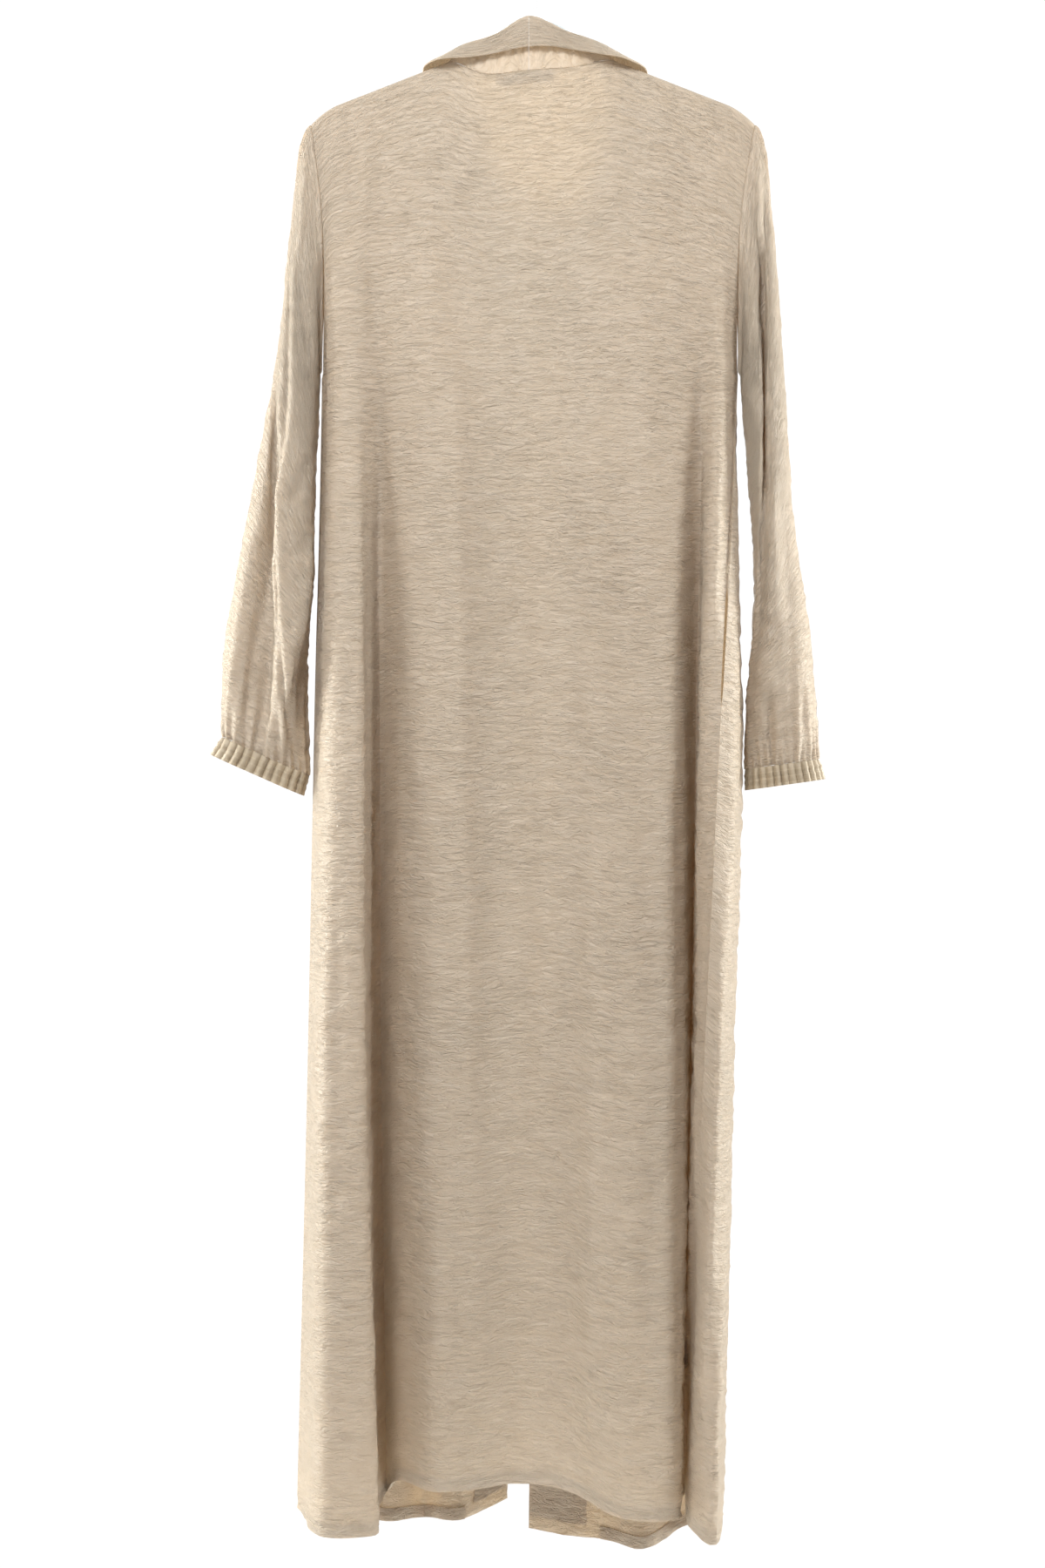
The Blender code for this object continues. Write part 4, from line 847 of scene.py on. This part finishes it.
every2 = (slice(None, None, 2), slice(None, None, 2))
skin = searchSkin([(backGrid[every2] + backOut[every2] * cloth["wall"] / 2, True)] + [
    (frontGrids[side][every2] + frontOuts[side][every2] * cloth["wall"] / 2, side == "right") for side in frontGrids])
collarGrids = {}
collarOuts = {}
for sign, side in ((1, "left"), (-1, "right")):
    at, base = collarSeam(plainBack, plainFronts[side], side == "left")
    places = [row[1] for row in collar["sections"]]
    sizes = spline(places, [row[2:5] for row in collar["sections"]], at)
    sizes[:, 1] += collar["reach"][side] * np.exp(-((at - 1.0) / 0.2) ** 2)
    mirror = np.array([sign, 1, 1])
    aims = [np.array([row[k] for row in collar["sections"]]) * mirror for k in (5, 6, 7)]
    up, out, down = [unit(np.stack([np.interp(at, places, aim[:, c]) for c in range(3)], axis=1)) for aim in aims]
    base = base + up * np.interp(at, collar["pullAt"], collar["pull"])[:, None]
    grid = []
    for i, (b, u, n, d, (stand, fall, roll)) in enumerate(zip(base, up, out, down, sizes)):
        # the stand behind the neck is gathered in soft uneven ripples
        back = smooth((0.95 - at[i]) / 0.3)
        ripple = back * 0.9 * math.sin(at[i] * 46 + 1.2 * math.sin(at[i] * 9))
        over = b + u * stand + n * roll * 1.95
        column = [b]
        for share in (0.2, 0.4, 0.6, 0.8, 0.94):
            column.append(b + u * stand * share + n * (ripple * math.sin(math.pi * share) + 0.1 * roll * share))
        for degrees in (150, 115, 80, 45, 15):
            turnAt = math.radians(degrees)
            column.append(b + u * (stand + roll * 0.8 * math.sin(turnAt)) + n * roll * (1 + math.cos(turnAt)) * 0.975)
        column += [over + d * fall * share + n * ripple * 0.5 * math.sin(math.pi * share)
                   for share in np.linspace(0.03, 1, 14)]
        grid.append(column)
    grid = np.transpose(np.array(grid), (1, 0, 2))
    for r in range(11, grid.shape[0]):
        for c in range(grid.shape[1]):
            grid[r, c] = liftOff(skin, grid[r, c], cloth["wall"] / 2 + collar["lift"])
    # a soft fall keeps its neighbours' height
    for _ in range(3):
        grid[12:-1, 1:-1] = (grid[12:-1, 1:-1] * 2 + grid[11:-2, 1:-1] + grid[13:, 1:-1] + grid[12:-1, :-2]
                             + grid[12:-1, 2:]) / 6
        grid[-1, 1:-1] = (grid[-1, 1:-1] * 2 + grid[-1, :-2] + grid[-1, 2:]) / 4
    collarGrids[side] = grid
    collarOuts[side] = outward(grid, -sign)
middleOut = unit(collarOuts["left"][:, 0] + collarOuts["right"][:, 0])
collarObjs = {}
for side in collarGrids:
    collarOuts[side][:, 0] = middleOut
    grid = crumple(collarGrids[side], collarOuts[side], (), 0.35, edgeFade(collarGrids[side].shape, top=3, first=3))
    grid = pullIn(grid, "first", cloth["seamGap"] / 2)
    collarGrids[side] = grid
    collarObjs[side] = clothMesh("collar_" + side + "_crepe", grid, collarOuts[side], crepe)
print("stage: collar made")

# mm; stitches are made by Geometry Nodes along a line on the cloth
stitch = {"pitch": 3.2, "length": 2.3, "radius": 0.22, "seed": 4, "proud": 0.15, "aboveHem": 7.5}


def stitchTree():
    tree = bpy.data.node_groups.new("stitch line", "GeometryNodeTree")
    face = tree.interface
    face.new_socket(name="Geometry", in_out="INPUT", socket_type="NodeSocketGeometry")
    for name, value in (("Pitch", 0.003), ("Stitch length", 0.002), ("Thread radius", 0.0002)):
        face.new_socket(name=name, in_out="INPUT", socket_type="NodeSocketFloat").default_value = value
    face.new_socket(name="Seed", in_out="INPUT", socket_type="NodeSocketInt").default_value = 1
    face.new_socket(name="Geometry", in_out="OUTPUT", socket_type="NodeSocketGeometry")
    start = addNode(tree, "NodeGroupInput")
    end = addNode(tree, "NodeGroupOutput")
    curve = addNode(tree, "GeometryNodeMeshToCurve", None, Mesh=start.outputs["Geometry"])
    spaced = addNode(tree, "GeometryNodeResampleCurve", {"mode": "LENGTH"}, Curve=curve.outputs["Curve"],
                     Length=start.outputs["Pitch"])
    tangent = addNode(tree, "GeometryNodeInputTangent")
    aim = addNode(tree, "FunctionNodeAlignEulerToVector", {"axis": "Z"}, Vector=tangent.outputs["Tangent"])
    rod = addNode(tree, "GeometryNodeMeshCylinder", {"in:Vertices": 6, "fill_type": "TRIANGLE_FAN"},
                  Radius=start.outputs["Thread radius"], Depth=start.outputs["Stitch length"])
    vary = addNode(tree, "FunctionNodeRandomValue", {"data_type": "FLOAT"}, Seed=start.outputs["Seed"])
    vary.inputs[2].default_value = 0.85
    vary.inputs[3].default_value = 1.12
    put = addNode(tree, "GeometryNodeInstanceOnPoints", None, Points=spaced.outputs["Curve"],
                  Instance=rod.outputs["Mesh"], Rotation=aim.outputs["Rotation"], Scale=vary.outputs[1])
    real = addNode(tree, "GeometryNodeRealizeInstances", None, Geometry=put.outputs["Instances"])
    paint = addNode(tree, "GeometryNodeSetMaterial", None, Geometry=real.outputs["Geometry"])
    paint.inputs["Material"].default_value = threadMat
    tree.links.new(paint.outputs["Geometry"], end.inputs["Geometry"])
    return tree


stitchNodes = stitchTree()


def stitched(name, lines, settings=stitch):
    points = []
    edges = []
    for line in lines:
        first = len(points)
        points += [tuple(np.asarray(p) * mm) for p in line]
        edges += [(first + i, first + i + 1) for i in range(len(line) - 1)]
    mesh = bpy.data.meshes.new(name + "_line")
    mesh.from_pydata(points, edges, [])
    guide = show(name + "_line", mesh)
    mod = guide.modifiers.new("stitches", "NODES")
    mod.node_group = stitchNodes
    values = {"Pitch": settings["pitch"] * mm, "Stitch length": settings["length"] * mm,
              "Thread radius": settings["radius"] * mm, "Seed": settings["seed"]}
    for item in stitchNodes.interface.items_tree:
        if item.in_out == "INPUT" and item.name in values:
            mod[item.identifier] = values[item.name]
    evaluated = guide.evaluated_get(bpy.context.evaluated_depsgraph_get())
    made = bpy.data.meshes.new_from_object(evaluated)
    guide.modifiers.clear()
    obj = show(name, made)
    bpy.data.objects.remove(guide, do_unlink=True)
    return obj


# The two rows next to a line this far above the hem, and its share of the way between them
def rowAtHeight(above):
    share = above / cloth["rowStep"]
    low = int(share)
    return -1 - low, -2 - low, share - low


def hemLine(grid, normals, above, first, last):
    a, b, t = rowAtHeight(above)
    lift = cloth["wall"] / 2 + stitch["proud"]
    line = (grid[a] + normals[a] * lift) * (1 - t) + (grid[b] + normals[b] * lift) * t
    return line[first:last]


hemStitches = stitched("hem_back_stitch", [hemLine(sewnBack, backOut, stitch["aboveHem"], 3, -3)])
frontStitches = {}
for side in frontGrids:
    out = frontOuts[side]
    hemEdge = hemLine(sewnFronts[side], out, stitch["aboveHem"], 3, -2)
    edgeRows = slice(20, -3)
    lift = cloth["wall"] / 2 + stitch["proud"]
    edgeLine = sewnFronts[side][edgeRows, -3] + out[edgeRows, -3] * lift
    frontStitches[side] = stitched("front_" + side + "_stitch", [hemEdge, edgeLine])
elastic = {"pitch": 2.4, "length": 1.6, "radius": 0.2, "seed": 9}    # the cuffs' elastic thread
cuffStitches = {}
for side, sign in (("left", 1), ("right", -1)):
    out = outward(cuffGrids[side], sign, closed=True)
    lines = []
    for r in (3, 6, 9):
        ring = cuffGrids[side][r] + out[r] * (cuffs["wall"] / 2 + 0.1)
        lines.append(np.vstack([ring, ring[:1]]))
    cuffStitches[side] = stitched("cuff_" + side + "_stitch", lines, elastic)
collarStitches = {}
for side in collarGrids:
    grid = collarGrids[side]
    line = grid[-2] * 0.35 + grid[-3] * 0.65 + collarOuts[side][-2] * (cloth["wall"] / 2 + stitch["proud"])
    collarStitches[side] = stitched("collar_" + side + "_stitch", [line[2:-2]])

# bar tacks close both ends of the side pocket
tack = {"length": 8.0, "threads": 14, "pitch": 0.42, "radius": 0.24, "lower": 0.42, "above": 0.01}


def barTack(name, share):
    skirt = np.array([s if s is not None else -1 for _, s in rowShares])
    r = int(np.argmin(np.abs(skirt - share)))
    centre = sewnBack[r, -1] + backOut[r, -1] * (cloth["wall"] / 2 + 0.2)
    across = unit(sewnBack[r, -2] - sewnBack[r, -1])
    down = unit(sewnBack[r + 1, -1] - sewnBack[r, -1])
    step = tack["length"] / tack["threads"]
    points = [centre + across * (0.2 + 1.2 * (i % 2)) + down * (i - tack["threads"] / 2) * step
              for i in range(tack["threads"])]
    return stitched(name, [points], {"pitch": tack["pitch"], "length": 0.8, "radius": tack["radius"], "seed": 2})


tackObj = barTack("pocket_tack_lower", tack["lower"])
tackTop = barTack("pocket_tack_upper", pocket["rows"][0] - tack["above"])
print("stage: sewing made")

# mm; moulded arms with their boss, and the wire hook
hanger = {
    "arch": ((0, -84.2), (18, -84.2), (27, -88), (36, -96), (50, -114), (62, -130), (70, -137), (80, -140), (92, -141),
             (105, -143)),
    "reaches": (130, 156, 182),
    "radius": 5.0,
    "bossTop": -72.5,
    "below": 6.5,         # from the shoulder line down to the arm's middle
    "wireRadius": 1.4,
    "hookInner": 20.0,
}


def tube(name, path, radius, sides, mat):
    path = np.asarray(path, float)
    tangents = unit(np.gradient(path, axis=0))
    across = np.array([0.0, 1.0, 0.0])
    radius = np.broadcast_to(radius, (len(path),))
    rings = []
    for p, t, r in zip(path, tangents, radius):
        other = unit(np.cross(t, across))
        rings.append([p + r * (math.cos(a) * across + math.sin(a) * other)
                      for a in np.linspace(0, 2 * math.pi, sides, endpoint=False)])
    points = np.array(rings).reshape(-1, 3) * mm
    faces = []
    for i in range(len(path) - 1):
        for j in range(sides):
            k = (j + 1) % sides
            faces.append((i * sides + j, (i + 1) * sides + j, (i + 1) * sides + k, i * sides + k))
    faces.append(tuple(range(sides)))
    faces.append(tuple((len(path) - 1) * sides + j for j in range(sides))[::-1])
    mesh = bpy.data.meshes.new(name)
    mesh.from_pydata([tuple(p) for p in points], [], faces)
    work = bmesh.new()
    work.from_mesh(mesh)
    bmesh.ops.recalc_face_normals(work, faces=work.faces)
    work.to_mesh(mesh)
    work.free()
    mesh.materials.append(mat)
    mesh.shade_smooth()
    mesh.set_sharp_from_angle(angle=math.radians(50))
    return show(name, mesh)


archHalf = list(hanger["arch"]) + [(reach, None) for reach in hanger["reaches"]]
knots = []
for i, (reach, z) in enumerate(archHalf[:0:-1] + archHalf):
    x = -reach if i < len(archHalf) - 1 else reach
    slope = shoulderZ(abs(x)) - shoulderZ(abs(x) + 1)
    knots.append((x, 0, shoulderZ(x) - hanger["below"] * math.hypot(1, slope) if z is None else z))
knots = np.array(knots, float)
xs = np.linspace(knots[0, 0], knots[-1, 0], 150)
armPath = spline(knots[:, 0], knots, xs)
ends = np.minimum(xs - xs[0], xs[-1] - xs)
armRadius = hanger["radius"] * np.sqrt(np.clip(1 - np.clip(1 - ends / 4.0, 0, 1) ** 2, 0.02, 1))
armObj = tube("hanger_arms", armPath, armRadius, 24, hangerMat)
bossZ = np.array([hanger["bossTop"], hanger["bossTop"] - 0.6, hanger["bossTop"] - 3, -80, -84])
bossRadius = np.array([4.2, 4.9, 5.0, 5.2, 5.2])
bossObj = tube("hanger_boss", np.stack([0 * bossZ, 0 * bossZ, bossZ], axis=1), bossRadius, 28, hangerMat)
radius = hanger["hookInner"] + hanger["wireRadius"]
wire = [(0, 0, hanger["bossTop"] + 0.3), (0, 0, hanger["bossTop"] + 6), (0, 0, -62), (1.5, 0, -55), (7, 0, -44)]
wire += [(radius * math.cos(math.radians(d)), 0, radius * math.sin(math.radians(d)) - hanger["hookInner"])
         for d in np.arange(-46, 211, 8)]
wire = np.array(wire)
wireKnots = np.concatenate([[0], np.cumsum(np.linalg.norm(np.diff(wire, axis=0), axis=1))])
wireRun = np.linspace(0, wireKnots[-1], 130)
wireLine = spline(wireKnots, wire, wireRun)
tipRun = wireKnots[-1] - wireRun
wireRadius = hanger["wireRadius"] * np.sqrt(np.clip(1 - np.clip(1 - tipRun / 1.4, 0, 1) ** 2, 0.03, 1))
hookObj = tube("hook_wire", wireLine, wireRadius, 16, wireMat)
print("stage: hanger made")

# the blank neck label keeps its solid, with the tape's own finish
labelNode = bpy.data.objects["neck_label"]
labelNode.data.materials.clear()
labelNode.data.materials.append(tapeMat)

declare(backObj, "back")
for i, side in enumerate(("left", "right")):
    declare(frontObjs[side], "front_" + side)
    declare(facingObjs[side], "facing_" + side)
    declare(sleeveObjs[side], "sleeve_" + side)
    declare(cuffObjs[side], "cuff_" + side)
    declare(collarObjs[side], "collar_" + side)
for obj in [*hemObjs, hemStitches, tackObj, tackTop, *frontStitches.values(), *cuffStitches.values(),
            *collarStitches.values()]:
    plainPiece(obj)
plainPiece(armObj, "hanger")
plainPiece(bossObj)
plainPiece(hookObj, "hanger_hook")

floorMesh = bpy.data.meshes.new("floor")
ring = [(1.1 * math.cos(a), 1.1 * math.sin(a), -1.95) for a in np.linspace(0, 2 * math.pi, 64, endpoint=False)]
floorMesh.from_pydata(ring, [], [tuple(range(64))])
floorMesh.materials.append(plainMaterial("plaster floor, pale", "EDECE8", 0.8, bumpScale=60.0))
floorObj = show("floor", floorMesh)

lights = (
    # name, place, aim, width, height, power
    ("key", (0.6, 2.4, 1.1), (0.0, 0.0, -0.6), 0.8, 0.8, 78),
    ("left strip", (1.7, 0.8, 0.0), (0.0, 0.0, -0.6), 0.5, 1.4, 18),
    ("right strip", (-1.7, 0.8, 0.0), (0.0, 0.0, -0.6), 0.5, 1.4, 22),
    ("left rim", (1.5, -0.25, -0.7), (0.1, 0.0, -0.8), 0.3, 1.6, 34),
    ("right rim", (-1.5, -0.25, -0.7), (-0.1, 0.0, -0.8), 0.3, 1.6, 34),
    ("front wash", (0.4, -2.2, 0.3), (0.0, 0.0, -0.7), 1.6, 1.6, 26),
)
for name, place, aim, width, height, power in lights:
    lamp = bpy.data.lights.new(name, "AREA")
    lamp.shape = "RECTANGLE"
    lamp.size = width
    lamp.size_y = height
    lamp.energy = power
    lamp.color = (0.97, 1.0, 0.95) if "rim" in name else (0.99, 1.0, 0.965)
    obj = show(name, lamp)
    obj.location = place
    obj.rotation_euler = (Vector(aim) - Vector(place)).to_track_quat("-Z", "Y").to_euler()

# the white wall behind the garment is bright, the room on the camera's side is dimmer
world = bpy.data.worlds.new("white studio")
world.use_nodes = True
sky = world.node_tree
skyPlace = addNode(sky, "ShaderNodeTexCoord")
split = addNode(sky, "ShaderNodeSeparateXYZ", None, Vector=skyPlace.outputs["Generated"])
brightness = addNode(sky, "ShaderNodeMapRange", {"From Min": -0.35, "From Max": 0.45, "To Min": 1.05, "To Max": 0.34},
                     Value=split.outputs["Y"])
sky.nodes["Background"].inputs["Color"].default_value = (1.0, 1.0, 1.0, 1)
sky.links.new(brightness.outputs["Result"], sky.nodes["Background"].inputs["Strength"])
scene = bpy.context.scene
scene.world = world
scene.view_settings.view_transform = "Standard"

camera = {"distance": 2.6, "x": 0.012, "z": -0.814, "frame": 1.503}
camData = bpy.data.cameras.new("camera")
camData.sensor_fit = "VERTICAL"
camData.sensor_height = 36.0
camData.lens = 36.0 * camera["distance"] / camera["frame"]
camObj = show("camera", camData)
camObj.location = (camera["x"], camera["distance"], camera["z"])
camObj.rotation_euler = (math.pi / 2, 0, math.pi)
scene.camera = camObj

print("stage: all made")
